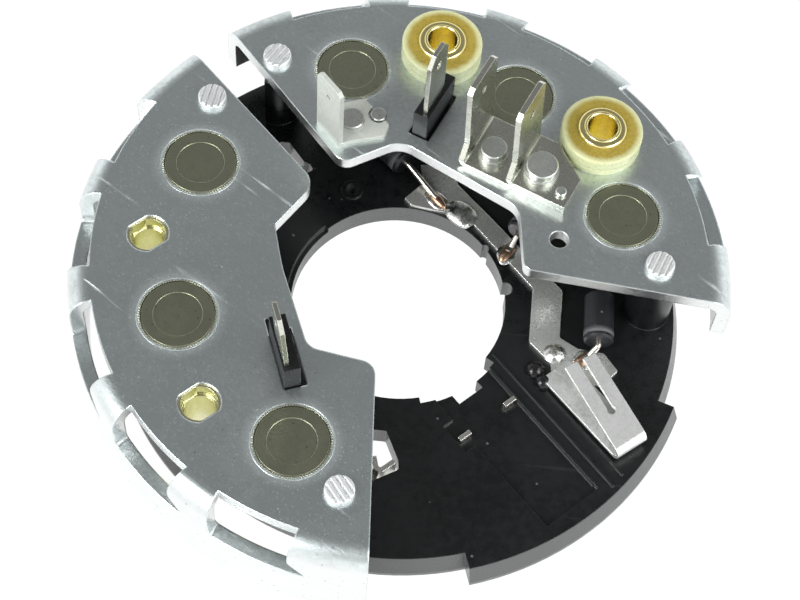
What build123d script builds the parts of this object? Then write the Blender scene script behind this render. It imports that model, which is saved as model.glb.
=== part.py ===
from build123d import *

# Bridge rectifier of a vehicle alternator.
#
# Two formed aluminium heatsinks carry six press-fit diodes. Four rivets hold
# them on the pillars of a moulded ring, which also carries the phase
# conductors, the exciter diodes with their bus strip, and two upright tabs.
#
# The origin is on the axis of the central bore, on the plane of the ring's
# underside. X is to the right, Y to the back and Z up. Lengths are millimetres.

import os
from math import atan2, cos, degrees, radians, sin

# Heights above the mounting plane
BASE_FLOOR = 4.5
PLATE_TOP = 20.0

# Heatsink sheet and its formed rim
SHEET = 2.5
RIM_RADIUS = 57.0
RIM_BEND = 4.0
DEEP_SKIRT_BOTTOM = 0.0
SHALLOW_SKIRT_BOTTOM = 10.0

# Skirt windows: first centre and pitch in degrees, height of the sill
WINDOWS_PER_SKIRT = 5
DEEP_WINDOWS = (158.5, 22.75, 11.0)
SHALLOW_WINDOWS = (16.8, 23.2, 15.0)
WINDOW_WIDTH = 14.3
WINDOW_FLARE = 3.2
WINDOW_FLARE_HEIGHT = 3.6
WINDOW_CORNER = 1.0

# Heatsink edges: x, y and corner radius, with far points outside the rim
NEGATIVE_EDGE = [
    (-75.0, 71.5, 0),
    (-16.2, 12.7, 3.6),
    (-22.2, 3.4, 0.6),
    (-19.9, -4.8, 30.0),
    (-13.9, -19.3, 3.0),
    (-2.4, -21.1, 2.8),
    (1.3, -75.0, 0),
    (-75.0, -75.0, 0),
]
POSITIVE_EDGE = [
    (-62.4, 74.0, 0),
    (-12.2, 17.2, 2.6),
    (-2.4, 23.1, 4.2),
    (19.2, 11.9, 4.0),
    (20.9, -0.2, 1.8),
    (75.0, -4.7, 0),
    (75.0, 74.0, 0),
]
LINK_HOLE = (26.5, 6.3, 1.65)

# Press-fit diodes
DIODE_CIRCLE = 39.35
DIODE_RADIUS = 6.375
DIODE_HEIGHT = 8.0
DIODE_PITCH = 45.0
CUP_CLEARANCE = 0.5
NEGATIVE_FIRST = 158.5
POSITIVE_FIRST = 18.5
DIODE_CHAMFER = 0.3
DIODE_DISH_RADIUS = 4.15
DIODE_DISH = 0.12
SEAL_RADIUS = 4.3
SEAL_HEIGHT = 1.6
SEAL_RISE = 0.7
LEAD_RADIUS = 0.65
LEAD_FOOT = 0.4

# Mounting holes: plan places, spacers, insulators and eyelets
NEGATIVE_MOUNTS = [(-43.4, -0.85), (-30.2, -31.5)]
POSITIVE_MOUNTS = [(3.1, 42.6), (32.55, 27.4)]
MOUNT_BORE = 2.65
KEYED_HOLE_RADIUS = 3.55
KEYED_HOLE_FLATS = 6.0
KEYED_HOLE_TURN = 43.0
SPACER_RADIUS = 4.6
SPACER_SINK = 0.3
SPACER_MOUTH_WALL = (0.45, 0.2)
SPACER_MOUTH_DEPTH = 3.0
WASHER_RADIUS = 7.2
WASHER_LOWER = 1.7
WASHER_UPPER = 2.2
EYELET_RADIUS = 3.15
EYELET_FLANGE = 4.3
EYELET_LIP = 0.6
EYELET_ROUND = 0.5
BUSH_RADIUS = 5.0
BUSH_SPIGOT = 4.2

# Moulded ring
BORE_RADIUS = 19.0
RING_RADIUS = 50.2
SHIELD_RADIUS = 53.1
SHIELDS = [(-71.5, -17.5), (118.0, 141.0)]
EDGE_DRAFT = (1.2, 3.6)
RIM_RELIEF = (47.0, -126.0, -99.0)
PILLAR_RADIUS = 4.1
PILLAR_FLAT = ("positive_back", 1.95)
GROOVE_DEPTH = 1.9
GROOVE_SIDE = 0.25
CHANNEL_TURN = -46.0
CHANNEL_DEPTH = 0.8
CHANNEL_SPAN = (17.0, 49.0)
CHANNEL_SIDES = (-7.3, 4.1)
RIB_WIDTH = 0.45
RIB_HEIGHT = 0.4
RIBS = [(4.1, 20.6, 48.0), (6.35, 18.6, 50.4), (9.0, 46.6, 49.8)]

# Rivets at the four pillars: x, y and the turn of the head's grooves
RIVETS = {
    "negative_back": (-36.4, 27.9, 82.0),
    "negative_front": (-5.9, -44.5, 128.0),
    "positive_back": (-26.1, 38.1, 62.0),
    "positive_front": (44.0, 3.0, 70.0),
}
RIVET_HEAD_RADIUS = 2.5
RIVET_HEAD_HEIGHT = 1.2
RIVET_SHANK = 1.6
RIVET_DEPTH = 9.0
RIVET_GROOVES = 4
RIVET_GROOVE_PITCH = 1.05
RIVET_GROOVE_WIDTH = 0.45
RIVET_GROOVE_DEPTH = 0.4

# Tab posts: x, y and turn of the slot's near left corner; start of the post
# across the slot, start of its stem along the slot and underside of its head
NEGATIVE_POST = (-16.8, -27.7, 21.0)
POSITIVE_POST = (-1.25, 25.1, -23.0)
NEGATIVE_STEM = (0.05, 0.2, 10.0)
POSITIVE_STEM = (0.6, 6.0, 14.5)
SLOT_WIDTH = 3.9
SLOT_LENGTH = 11.0
SLOT_KEY_WIDTH = 2.5
SLOT_KEY_LENGTH = 13.6
SLOT_GAP = 0.2
POST_WIDTH = 2.8
POST_LENGTH = 10.3
POST_RISE = 6.3
TAB_WIDTH = 6.3
TAB_SHEET = 0.8
TAB_INSET = 0.9
TAB_ROOT = 15.5
TAB_EYE = 0.85
# Tabs: place across the slot, lean in degrees and rise above the plate
NEGATIVE_TAB = (0.35, 3.3, 19.8)
POSITIVE_TAB = (2.05, 0.0, 21.5)

# Phase conductors
STRIP = 0.8
STRIP_WIDTH = 4.4
INNER_TRACK = 22.9
OUTER_TRACK = 28.6
EXCITER_TRACK = 35.0
FRONT_LINK = (-84.0, -66.0)
FORK_WIDTH = 0.9
FORK_TOP = 4.2
STEM_WIDTH = 2.4
NUBS = [(13.8, -25.3), (21.0, -17.95)]
NUB_LENGTH = 2.4
NUB_WIDTH = 0.85
NUB_TOP = 4.9

# Stator forks, each in a frame whose X is radial and Y tangential at its angle
FORKS = {
    "front": {
        "angle": -90.0,
        "stem": [(23.0, -3.6), (33.2, -3.9), (33.4, -0.4)],
        "prongs": [(30.6, -1.3), (33.6, -0.4), (31.1, 2.3)],
        "window": [(25.8, -5.4), (25.8, 0.4), (31.0, 2.9), (32.7, 3.2), (35.3, -1.1), (35.3, -5.4)],
    },
    "back": {
        "angle": 129.0,
        "stem": [(28.6, 4.6), (33.2, 4.6), (33.4, 0.9)],
        "prongs": [(31.5, 2.8), (33.6, 0.8), (31.8, -1.0)],
        "window": [(30.9, 6.2), (30.9, -1.9), (32.4, -1.9), (33.4, -1.3), (38.2, -1.3), (39.2, 0.0),
                   (39.2, 6.2)],
    },
    "bore": {
        "angle": 181.0,
        "stem": [(22.9, 3.6), (33.2, 3.6), (33.4, 0.5)],
        "prongs": [(31.0, 2.4), (33.6, 0.4), (31.0, -1.8)],
        "window": [(26.4, 5.2), (26.4, -2.9), (35.3, -2.9), (35.3, 5.2)],
    },
}
WINDOW_ROUND = 0.5

# Exciter diodes: joint on the bus strip, body centre, foot radius and angle
EXCITERS = {
    "back": ((5.0, 20.9), (-4.8, 29.8), (36.3, 107.2)),
    "middle": ((18.5, 11.2), (22.6, 18.2), (35.0, 42.5)),
    "front": ((33.3, -8.8), (35.4, -1.5), (36.7, 17.0)),
}
EXCITER_RADIUS = 2.65
EXCITER_LENGTH = 9.2
EXCITER_LEAD = 0.55
EXCITER_LIFT = 0.3
WIRE_BEND = 0.8

# Bus strip and spring contact
BUS_SHEET = 0.8
BUS_EDGE = [
    (-0.8, 20.6, 0),
    (0.5, 19.3, 0.6),
    (10.8, 17.9, 0.8),
    (23.6, 4.6, 0.6),
    (23.6, -6.2, 0.8),
    (27.6, -10.0, 0.5),
    (28.2, -13.4, 0.5),
    (31.2, -13.6, 0),
    (36.8, -13.3, 0.3),
    (39.4, -10.2, 0.4),
    (36.8, -7.0, 0.5),
    (32.2, -6.6, 0.8),
    (28.9, -4.8, 0.6),
    (28.9, 4.6, 1.0),
    (14.2, 19.2, 1.0),
    (8.6, 24.6, 0.8),
    (7.6, 28.2, 0.4),
    (1.4, 28.2, 0.4),
    (2.4, 24.4, 0.6),
]
CONTACT_SHEET = 0.6
CONTACT_WIDTH = 6.2
CONTACT_FOLD = (42.1, -25.2)
CONTACT_FOLD_LINE = 40.0
CONTACT_FOLD_RADIUS = 1.1
CONTACT_LOWER = (-45.5, 19.5)
CONTACT_UPPER = (-55.5, 17.3)
CONTACT_RISE = 1.9
CONTACT_SLOT = (10.4, 1.1, 0.75)

# Twin terminal: corner and turn, then sizes in its own frame
TWIN_PLACE = (8.0, 19.5, -23.0)
TWIN_SHEET = 1.0
TWIN_DEPTH = 11.5
TWIN_LENGTH = 20.5
TWIN_SECOND = 9.2
TWIN_CORNER = (14.0, 6.6)
TWIN_TAB_WIDTH = 9.5
TWIN_NECK = 4.3
TWIN_NECK_FOOT = 1.6
TWIN_LEAN = 0.8
TWIN_TAB_TOPS = (19.2, 18.3)
TWIN_TIP = 1.1

# Single terminal: its bend line, foot and tab
SINGLE_BEND = ((-13.1, 20.3), (-17.5, 25.0))
SINGLE_FOOT = [
    (-13.1, 20.3, 0),
    (-11.4, 21.3, 0.6),
    (-5.4, 23.2, 0.8),
    (-4.7, 25.7, 0.8),
    (-9.6, 30.7, 0.8),
    (-15.6, 28.4, 0.4),
    (-17.5, 25.0, 0),
]
SINGLE_SHEET = 0.9
SINGLE_RISE = 15.6
SINGLE_TIP = 0.8
SINGLE_NOTCH = 1.85

# Rivets and pins of the terminals: place, shank, head radius and head height
TERMINAL_RIVETS = {
    "twin_left": ((4.6, 4.3), 1.5, 2.35, 2.3),
    "twin_right": ((13.7, 4.7), 1.7, 2.85, 2.3),
    "twin_pin": ((18.65, 2.4), 0.7, 1.0, 0.8),
    "single": ((-11.3, 25.9), 1.5, 2.2, 0.7),
    "single_pin": ((-6.8, 27.7), 0.9, 1.45, 1.0),
}
COLLAR = 0.25
COLLAR_HEIGHT = 0.7
TAIL_HEIGHT = 0.9

# Small holed boss of the ring: x, y, radius and hole radius
BOSS = (-10.5, 21.6, 2.0, 1.1)

# Fits
PRESS_FIT = 0.01
FIT = 0.05


def polar(radius, angle):
    """A plan point at a radius and an angle in degrees about the bore's axis."""
    return (radius * cos(radians(angle)), radius * sin(radians(angle)))


def along(point, angle, distance):
    """A plan point moved by a distance in a direction given in degrees."""
    return (point[0] + distance * cos(radians(angle)), point[1] + distance * sin(radians(angle)))


def heading(start, end):
    """Direction in degrees from one plan point to another."""
    return degrees(atan2(end[1] - start[1], end[0] - start[0]))


def framed(x, y, turn):
    """Placement at a plan point, turned about Z."""
    return Location((x, y, 0), (0, 0, turn))


def outline(corners):
    """A closed face from corners given as x, y and corner radius."""
    points = [(x, y) for x, y, _ in corners]
    radii = [radius for _, _, radius in corners]
    return make_face(FilletPolyline(*points, radius=radii, close=True))


def slab(face, bottom, top):
    """A plan face raised between two heights."""
    return Pos(0, 0, bottom) * extrude(face, top - bottom)


def rod(place, radius, bottom, top):
    """An upright round bar."""
    return Pos(place[0], place[1], bottom) * extrude(Circle(radius), top - bottom)


def tube(inner, outer, bottom, top):
    """An upright tube on the Z axis."""
    return rod((0, 0), outer, bottom, top) - rod((0, 0), inner, bottom - 1, top + 1)


def ring_sector(inner, outer, start, end, bottom, top):
    """A block between two radii, two angles and two heights."""
    middle = Pos((inner + outer) / 2, (bottom + top) / 2)
    section = Plane.XZ * middle * Rectangle(outer - inner, top - bottom)
    return Rot(0, 0, start) * revolve(section, Axis.Z, end - start)


def top_edges(shape):
    """The highest edges of a shape."""
    return shape.edges().group_by(Axis.Z)[-1]


def keyed_shape(radius, flats):
    """A circle with two parallel flats."""
    return Rot(0, 0, KEYED_HOLE_TURN) * (Circle(radius) & Rectangle(2 * radius, flats))


# Heatsinks

def rim_section(bottom):
    """Half section of a plate with its bend and its upright skirt."""
    bend_centre = RIM_RADIUS - RIM_BEND
    wall = RIM_RADIUS - SHEET
    under = PLATE_TOP - SHEET
    low = PLATE_TOP - RIM_BEND
    edge = Polyline((0, under), (0, PLATE_TOP), (bend_centre, PLATE_TOP))
    edge += RadiusArc((bend_centre, PLATE_TOP), (RIM_RADIUS, low), RIM_BEND)
    edge += Polyline((RIM_RADIUS, low), (RIM_RADIUS, bottom), (wall, bottom), (wall, low))
    edge += RadiusArc((wall, low), (bend_centre, under), SHEET - RIM_BEND)
    edge += Line((bend_centre, under), (0, under))
    return Plane.XZ * make_face(edge)


def skirt_windows(windows):
    """Windows that open from the plate's edge down to a sill in the skirt.

    Each is punched straight through the skirt and flares at one lower corner.
    """
    first, pitch, sill = windows
    half = WINDOW_WIDTH / 2
    profile = outline([
        (-half, sill, WINDOW_CORNER),
        (half + WINDOW_FLARE, sill, 0),
        (half, sill + WINDOW_FLARE_HEIGHT, WINDOW_CORNER),
        (half, PLATE_TOP + 1, 0),
        (-half, PLATE_TOP + 1, 0),
    ])
    plate_edge = RIM_RADIUS - RIM_BEND - 0.1
    punch = Pos(plate_edge - 3, 0, 0) * extrude(Plane.YZ * profile, RIM_BEND + 5)
    rim = tube(plate_edge, RIM_RADIUS + 2, sill - 1, PLATE_TOP + 2)
    punch = punch & rim
    return [Rot(0, 0, first + number * pitch) * punch for number in range(WINDOWS_PER_SKIRT)]


def diode_places(first):
    """Plan places of three diodes, from the first angle on."""
    return [polar(DIODE_CIRCLE, first + number * DIODE_PITCH) for number in range(3)]


def through(place, radius):
    """A round cutter through a heatsink plate."""
    return rod(place, radius, PLATE_TOP - SHEET - 1, PLATE_TOP + 1)


def slot_face(post):
    """The stepped slot that lets a post through the plate."""
    wide = Pos(SLOT_WIDTH / 2, SLOT_LENGTH / 2) * Rectangle(SLOT_WIDTH, SLOT_LENGTH)
    key = Pos(SLOT_KEY_WIDTH / 2, SLOT_KEY_LENGTH / 2) * Rectangle(SLOT_KEY_WIDTH, SLOT_KEY_LENGTH)
    return framed(*post) * (wide + key)


def heatsink(edge, bottom, windows, first_diode, post, rivets):
    """A formed plate with its windows, diode bores, tab slot and rivet holes."""
    under = PLATE_TOP - SHEET
    body = revolve(rim_section(bottom), Axis.Z) & slab(outline(edge), bottom - 1, PLATE_TOP + 1)
    for cutter in skirt_windows(windows):
        body -= cutter
    for place in diode_places(first_diode):
        body -= through(place, DIODE_RADIUS + PRESS_FIT)
    for name in rivets:
        body -= through(RIVETS[name][:2], RIVET_SHANK + FIT)
    return body - slab(slot_face(post), under - 1, PLATE_TOP + 1)


def skirt_end_cutter():
    """The slope that lifts the front end of the deep skirt off the mounting plane."""
    x, y = polar(RIM_RADIUS - SHEET - 1, -98)
    side = Plane((x, y, 0), x_dir=(*polar(1, -188), 0), z_dir=(*polar(1, -98), 0))
    slope = Polygon((-11, -1), (6.8, -1), (6.8, 0), (-6.0, 11.2), (-11, 11.2), align=None)
    return extrude(side * slope, SHEET + 2)


def negative_heatsink():
    """The grounded heatsink, with keyed holes for its spacers."""
    body = heatsink(NEGATIVE_EDGE, DEEP_SKIRT_BOTTOM, DEEP_WINDOWS, NEGATIVE_FIRST,
                    NEGATIVE_POST, ("negative_back", "negative_front"))
    for x, y in NEGATIVE_MOUNTS:
        hole = Pos(x, y) * keyed_shape(KEYED_HOLE_RADIUS, KEYED_HOLE_FLATS)
        body -= slab(hole, PLATE_TOP - SHEET - 1, PLATE_TOP + 1)
    return body - skirt_end_cutter()


def positive_heatsink():
    """The insulated heatsink, with round holes for its insulating bushes."""
    body = heatsink(POSITIVE_EDGE, SHALLOW_SKIRT_BOTTOM, SHALLOW_WINDOWS, POSITIVE_FIRST,
                    POSITIVE_POST, ("positive_back", "positive_front"))
    for place in POSITIVE_MOUNTS:
        body -= through(place, BUSH_SPIGOT + FIT)
    for name, rivet in TERMINAL_RIVETS.items():
        body -= through(terminal_place(name), rivet[1] + FIT)
    return body - through(LINK_HOLE[:2], LINK_HOLE[2])


# Press-fit diodes

def diode_mouth():
    """Height of the open end of a diode cup."""
    return PLATE_TOP - DIODE_HEIGHT


def diode_cup(place):
    """A cup with a shallow turned dish on its closed face."""
    mouth = diode_mouth()
    cup = rod(place, DIODE_RADIUS, mouth, PLATE_TOP)
    cup = chamfer(top_edges(cup), DIODE_CHAMFER)
    cup -= rod(place, DIODE_DISH_RADIUS, PLATE_TOP - DIODE_DISH, PLATE_TOP + 1)
    return cup - rod(place, SEAL_RADIUS, mouth - 1, mouth + SEAL_HEIGHT)


def diode_seal(place):
    """The moulded seal in the cup's mouth."""
    mouth = diode_mouth()
    seal = rod(place, SEAL_RADIUS - PRESS_FIT, mouth - SEAL_RISE, mouth + SEAL_HEIGHT)
    seal = fillet(seal.edges().group_by(Axis.Z)[0], SEAL_RISE * 0.9)
    return seal - rod(place, LEAD_RADIUS + PRESS_FIT, mouth - SEAL_RISE - 1, mouth + 1)


def solder_cone(place, wire):
    """The solder fillet where a lead passes its conductor, under the strip."""
    strip_bottom = GROOVE_DEPTH - STRIP
    cone = Polygon((0, strip_bottom), (wire * 2.2, strip_bottom), (wire, LEAD_FOOT), (0, LEAD_FOOT),
                   align=None)
    return Pos(*place, 0) * revolve(Plane.XZ * cone, Axis.Z)


def diode_lead(place):
    """The lead wire, from the seal down through its soldered joint."""
    return rod(place, LEAD_RADIUS, LEAD_FOOT, diode_mouth() + 1) + solder_cone(place, LEAD_RADIUS)


# Phase conductors

def negative_angle(number):
    """Angle of a diode of the grounded heatsink, counted from one."""
    return NEGATIVE_FIRST + (number - 1) * DIODE_PITCH


def positive_angle(number):
    """Angle of a diode of the insulated heatsink, counted from one."""
    return POSITIVE_FIRST + (number - 1) * DIODE_PITCH


def conductor_runs():
    """Arcs and straight bars of each conductor.

    An arc is a radius and two angles. A bar joins two points given as radius
    and angle.
    """
    front_end = negative_angle(3) - 360
    link_start, link_end = FRONT_LINK
    arcs = {
        "front": [(INNER_TRACK, front_end, link_start), (OUTER_TRACK, link_end, positive_angle(1))],
        "back": [(OUTER_TRACK, positive_angle(3), negative_angle(1))],
        "bore": [(INNER_TRACK, positive_angle(2), negative_angle(2)),
                 (EXCITER_TRACK, EXCITERS["middle"][2][1], positive_angle(2))],
    }
    bars = {
        "front": [((INNER_TRACK, front_end), (DIODE_CIRCLE, front_end)),
                  ((INNER_TRACK, link_start), (OUTER_TRACK, link_end)),
                  ((OUTER_TRACK, positive_angle(1)), (DIODE_CIRCLE, positive_angle(1)))],
        "back": [((OUTER_TRACK, negative_angle(1)), (DIODE_CIRCLE, negative_angle(1))),
                 ((OUTER_TRACK, positive_angle(3)), (DIODE_CIRCLE, positive_angle(3)))],
        "bore": [((INNER_TRACK, negative_angle(2)), (DIODE_CIRCLE, negative_angle(2))),
                 ((INNER_TRACK, positive_angle(2)), (DIODE_CIRCLE, positive_angle(2)))],
    }
    return {name: (arcs[name], bars[name]) for name in arcs}


def bar_between(start, end, width, bottom, top):
    """A flat bar with round ends between two points given as radius and angle."""
    p, q = polar(*start), polar(*end)
    length = (Vector(*q) - Vector(*p)).length
    return slab(framed(*p, heading(p, q)) * Pos(length / 2, 0) * SlotCenterToCenter(length, width),
                bottom, top)


def laid_runs(runs, width, bottom, top):
    """The solids of a conductor's arcs and bars at a given width."""
    arcs, bars = runs
    half = width / 2
    solids = [ring_sector(radius - half, radius + half, start, end, bottom, top)
              for radius, start, end in arcs]
    return solids + [bar_between(start, end, width, bottom, top) for start, end in bars]


def fork_stem(fork):
    """The strip that leads from a conductor into the fork's window."""
    path = FilletPolyline(*fork["stem"], radius=1.2)
    return slab(Rot(0, 0, fork["angle"]) * trace(path, STEM_WIDTH), GROOVE_DEPTH - STRIP, GROOVE_DEPTH)


def stem_groove(fork):
    """The straight groove that leads from a conductor's track to the window."""
    start, end = fork["stem"][:2]
    middle = Pos((start[0] + end[0]) / 2, (start[1] + end[1]) / 2)
    field = Rectangle(end[0] - start[0], STEM_WIDTH + 2 * GROOVE_SIDE)
    return slab(Rot(0, 0, fork["angle"]) * middle * field, -1, GROOVE_DEPTH)


def fork_prongs(fork):
    """The upright vee that holds a stator wire."""
    path = FilletPolyline(*fork["prongs"], radius=0.8)
    return slab(Rot(0, 0, fork["angle"]) * trace(path, FORK_WIDTH), GROOVE_DEPTH - STRIP, FORK_TOP)


def fork_window(fork):
    """The window of the ring round a fork."""
    corners = [(x, y, WINDOW_ROUND) for x, y in fork["window"]]
    return slab(Rot(0, 0, fork["angle"]) * outline(corners), -1, BASE_FLOOR + 1)


def nub_face(place, clearance=0.0):
    """Plan shape of an upturned ear of the front conductor."""
    lie = framed(*place, CHANNEL_TURN + 90)
    return lie * Rectangle(NUB_LENGTH + 2 * clearance, NUB_WIDTH + 2 * clearance)


def lead_passages():
    """Lead place and wire radius of every wire that passes a conductor."""
    places = diode_places(NEGATIVE_FIRST) + diode_places(POSITIVE_FIRST)
    leads = [(place, LEAD_RADIUS) for place in places]
    return leads + [(polar(*foot), EXCITER_LEAD) for _, _, foot in EXCITERS.values()]


def phase_conductor(name):
    """A stamped conductor with its fork and the holes that its leads pass."""
    bottom = GROOVE_DEPTH - STRIP
    body = fork_stem(FORKS[name]) + fork_prongs(FORKS[name])
    for run in laid_runs(conductor_runs()[name], STRIP_WIDTH, bottom, GROOVE_DEPTH):
        body += run
    if name == "front":
        for place in NUBS:
            body += slab(nub_face(place), bottom, NUB_TOP)
    for place, wire in lead_passages():
        body -= rod(place, wire + FIT, 0, BASE_FLOOR)
    return body


# Exciter diodes and their bus strip

def exciter_axis_height():
    """Height of an exciter diode's axis above the mounting plane."""
    return BASE_FLOOR + EXCITER_LIFT + EXCITER_RADIUS


def exciter_body(exciter):
    """A moulded round body lying along its lead wires."""
    _, centre, foot = exciter
    turn = heading(centre, polar(*foot))
    lie = Location((*centre, exciter_axis_height()), (0, 0, turn)) * Rot(0, 90, 0)
    body = lie * Cylinder(EXCITER_RADIUS, EXCITER_LENGTH)
    body = chamfer(body.edges().filter_by(GeomType.CIRCLE), 0.35)
    return body - lie * Cylinder(EXCITER_LEAD + PRESS_FIT, EXCITER_LENGTH + 1)


def exciter_lead(exciter):
    """The through wire: soldered on the bus strip, bent down into its conductor."""
    joint, centre, foot = exciter
    foot = polar(*foot)
    low = BASE_FLOOR + BUS_SHEET + EXCITER_LEAD
    high = exciter_axis_height()
    inner_end = along(centre, heading(foot, centre), EXCITER_LENGTH / 2 + 0.7)
    path = FilletPolyline(
        (*joint, low),
        (*along(joint, heading(joint, inner_end), 1.1), low),
        (*inner_end, high),
        (*foot, high),
        (*foot, LEAD_FOOT),
        radius=[WIRE_BEND * 0.7, WIRE_BEND * 0.7, WIRE_BEND],
    )
    section = Plane(origin=path @ 0, z_dir=path % 0) * Circle(EXCITER_LEAD)
    return sweep(section, path) + solder_cone(foot, EXCITER_LEAD)


def bus_strip():
    """The flat strip that joins the exciter diodes to the spring contact."""
    return slab(outline(BUS_EDGE), BASE_FLOOR, BASE_FLOOR + BUS_SHEET)


def contact_leg(turn, length):
    """Plan outline of one leg of the contact, running on past the fold line."""
    leg = Pos((4 - length) / 2, 0) * Rectangle(length + 4, CONTACT_WIDTH)
    return framed(*CONTACT_FOLD, turn) * leg


def spring_contact():
    """A folded spring: a flat leg and a rising leg with a keyhole slot."""
    bottom = BASE_FLOOR + BUS_SHEET
    rise = 2 * CONTACT_FOLD_RADIUS
    reach = CONTACT_LOWER[1] + CONTACT_WIDTH
    bend = CONTACT_FOLD_RADIUS * 0.97
    path = FilletPolyline(
        (-reach, 0),
        (0, 0),
        (0, rise),
        (-reach, rise + CONTACT_RISE),
        radius=[bend, bend],
    )
    across = CONTACT_FOLD_LINE - 90
    side = Plane((*CONTACT_FOLD, bottom + CONTACT_SHEET / 2), x_dir=(*polar(1, across), 0),
                 z_dir=(*polar(1, across - 90), 0))
    sheet = extrude(side * trace(path, CONTACT_SHEET), 3 * CONTACT_WIDTH, both=True)
    middle = bottom + (CONTACT_SHEET + rise) / 2
    lower = slab(contact_leg(*CONTACT_LOWER), bottom - 1, middle)
    upper = slab(contact_leg(*CONTACT_UPPER), middle, middle + 9)
    slot_end, slot_width, eye = CONTACT_SLOT
    slot = Pos(-CONTACT_UPPER[1] + slot_end / 2 - 1, 0) * Rectangle(slot_end + 2, slot_width)
    slot += Pos(-CONTACT_UPPER[1] + slot_end, 0) * Circle(eye)
    keyhole = slab(framed(*CONTACT_FOLD, CONTACT_UPPER[0]) * slot, middle, middle + 9)
    return (sheet & lower) + (sheet & upper) - keyhole


# Upright tabs in their posts

def tab_profile(width, bottom, top, tip, tip_run):
    """Side outline of an upright tab with a chamfered tip."""
    return Polygon(
        (0, bottom),
        (width, bottom),
        (width, top - tip),
        (width - tip_run, top),
        (tip_run, top),
        (0, top - tip),
        align=None,
    )


def post_tab(post, tab):
    """The flat tab that stands in a post, leaning above it."""
    across, lean, rise = tab
    bend = PLATE_TOP + POST_RISE
    lower = Polygon((0, TAB_ROOT), (TAB_WIDTH, TAB_ROOT), (TAB_WIDTH, bend), (0, bend), align=None)
    upper = tab_profile(TAB_WIDTH, -TAB_SHEET, PLATE_TOP + rise - bend, 2.2, 1.5)
    upper -= Pos(TAB_WIDTH / 2, PLATE_TOP + rise - bend - 4.2) * Circle(TAB_EYE)
    body = extrude(Plane.YZ * lower, TAB_SHEET)
    body += Location((0, 0, bend), (0, -lean, 0)) * extrude(Plane.YZ * upper, TAB_SHEET)
    return framed(*post) * Pos(across, TAB_INSET, 0) * body


def moulded_post(post, stem, tab):
    """A post of the ring: a head round its tab, a stem, a rib and a key in the slot."""
    shift, stem_start, head_bottom = stem
    top = PLATE_TOP + POST_RISE
    low = BASE_FLOOR - 1
    far = SLOT_GAP + POST_LENGTH
    middle = shift + POST_WIDTH / 2
    head = Pos(middle, SLOT_GAP + POST_LENGTH / 2) * Rectangle(POST_WIDTH, POST_LENGTH)
    body = slab(head, head_bottom, top)
    foot = Pos(middle, (stem_start + far) / 2) * Rectangle(POST_WIDTH, far - stem_start)
    body += slab(foot, low, head_bottom + 1)
    right = shift + POST_WIDTH
    rib_width = SLOT_WIDTH - SLOT_GAP - right
    rib = Pos(right + rib_width / 2, SLOT_LENGTH - SLOT_GAP - 0.8) * Rectangle(rib_width, 1.6)
    body += slab(rib, low, PLATE_TOP - 0.3)
    key_width = SLOT_KEY_WIDTH - SLOT_GAP - shift
    key_length = SLOT_KEY_LENGTH - POST_LENGTH - 2 * SLOT_GAP
    key = Pos(shift + key_width / 2, far + key_length / 2) * Rectangle(key_width, key_length)
    body += slab(key, low, PLATE_TOP - 0.6)
    pocket = Pos(tab[0] + TAB_SHEET / 2, TAB_INSET + TAB_WIDTH / 2)
    pocket = pocket * Rectangle(TAB_SHEET + 2 * FIT, TAB_WIDTH + 2 * FIT)
    body -= slab(pocket, TAB_ROOT, top + 1)
    return framed(*post) * body


# Moulded ring

def drafted_disc(radius):
    """A disc of the ring's thickness with a drafted wall."""
    inset, depth = EDGE_DRAFT
    profile = Polygon(
        (0, 0),
        (radius, 0),
        (radius, BASE_FLOOR - depth),
        (radius - inset, BASE_FLOOR),
        (0, BASE_FLOOR),
        align=None,
    )
    return revolve(Plane.XZ * profile, Axis.Z)


def ring_body():
    """The flat ring with a relieved front edge and its wider shield sectors."""
    low, high = -1, BASE_FLOOR + 1
    relief_radius, relief_start, relief_end = RIM_RELIEF
    body = drafted_disc(RING_RADIUS)
    body -= ring_sector(relief_radius, RING_RADIUS + 1, relief_start, relief_end, low, high)
    for start, end in SHIELDS:
        body += drafted_disc(SHIELD_RADIUS) & ring_sector(40, SHIELD_RADIUS + 1, start, end, low, high)
    return body - slab(Circle(BORE_RADIUS), low, high)


def channel_rectangle(start, end, low, high):
    """A plan rectangle in the channel's own frame."""
    middle = Pos((start + end) / 2, (low + high) / 2)
    return Rot(0, 0, CHANNEL_TURN) * middle * Rectangle(end - start, high - low)


def channel_recess():
    """The sunk field of the channel and the pocket round its first ear."""
    field = channel_rectangle(*CHANNEL_SPAN, *CHANNEL_SIDES)
    pocket = channel_rectangle(24.2, 30.2, -9.4, -6.0)
    return slab(field + pocket, BASE_FLOOR - CHANNEL_DEPTH, BASE_FLOOR + 1)


def channel_ribs():
    """Low ribs that run along the channel."""
    return [slab(channel_rectangle(start, end, offset - RIB_WIDTH / 2, offset + RIB_WIDTH / 2),
                 BASE_FLOOR - CHANNEL_DEPTH, BASE_FLOOR + RIB_HEIGHT)
            for offset, start, end in RIBS]


def bore_reliefs():
    """Steps of the bore's edge: two reliefs, a square notch, a ledge and two nicks."""
    low, high = -1, BASE_FLOOR + 1
    cutters = [
        ring_sector(15, 19.6, -97, -72, low, high),
        ring_sector(15, 20.7, -74, -31, low, high),
        ring_sector(15, 19.8, 137, 182, BASE_FLOOR - 1.2, high),
        slab(channel_rectangle(15, 22.25, -4.2, 1.0), low, high),
    ]
    for radius, angle, size in ((19.2, 13.0, 1.3), (18.9, 40.0, 0.8)):
        cutters.append(rod(polar(radius, angle), size, low, high))
    return cutters


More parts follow.
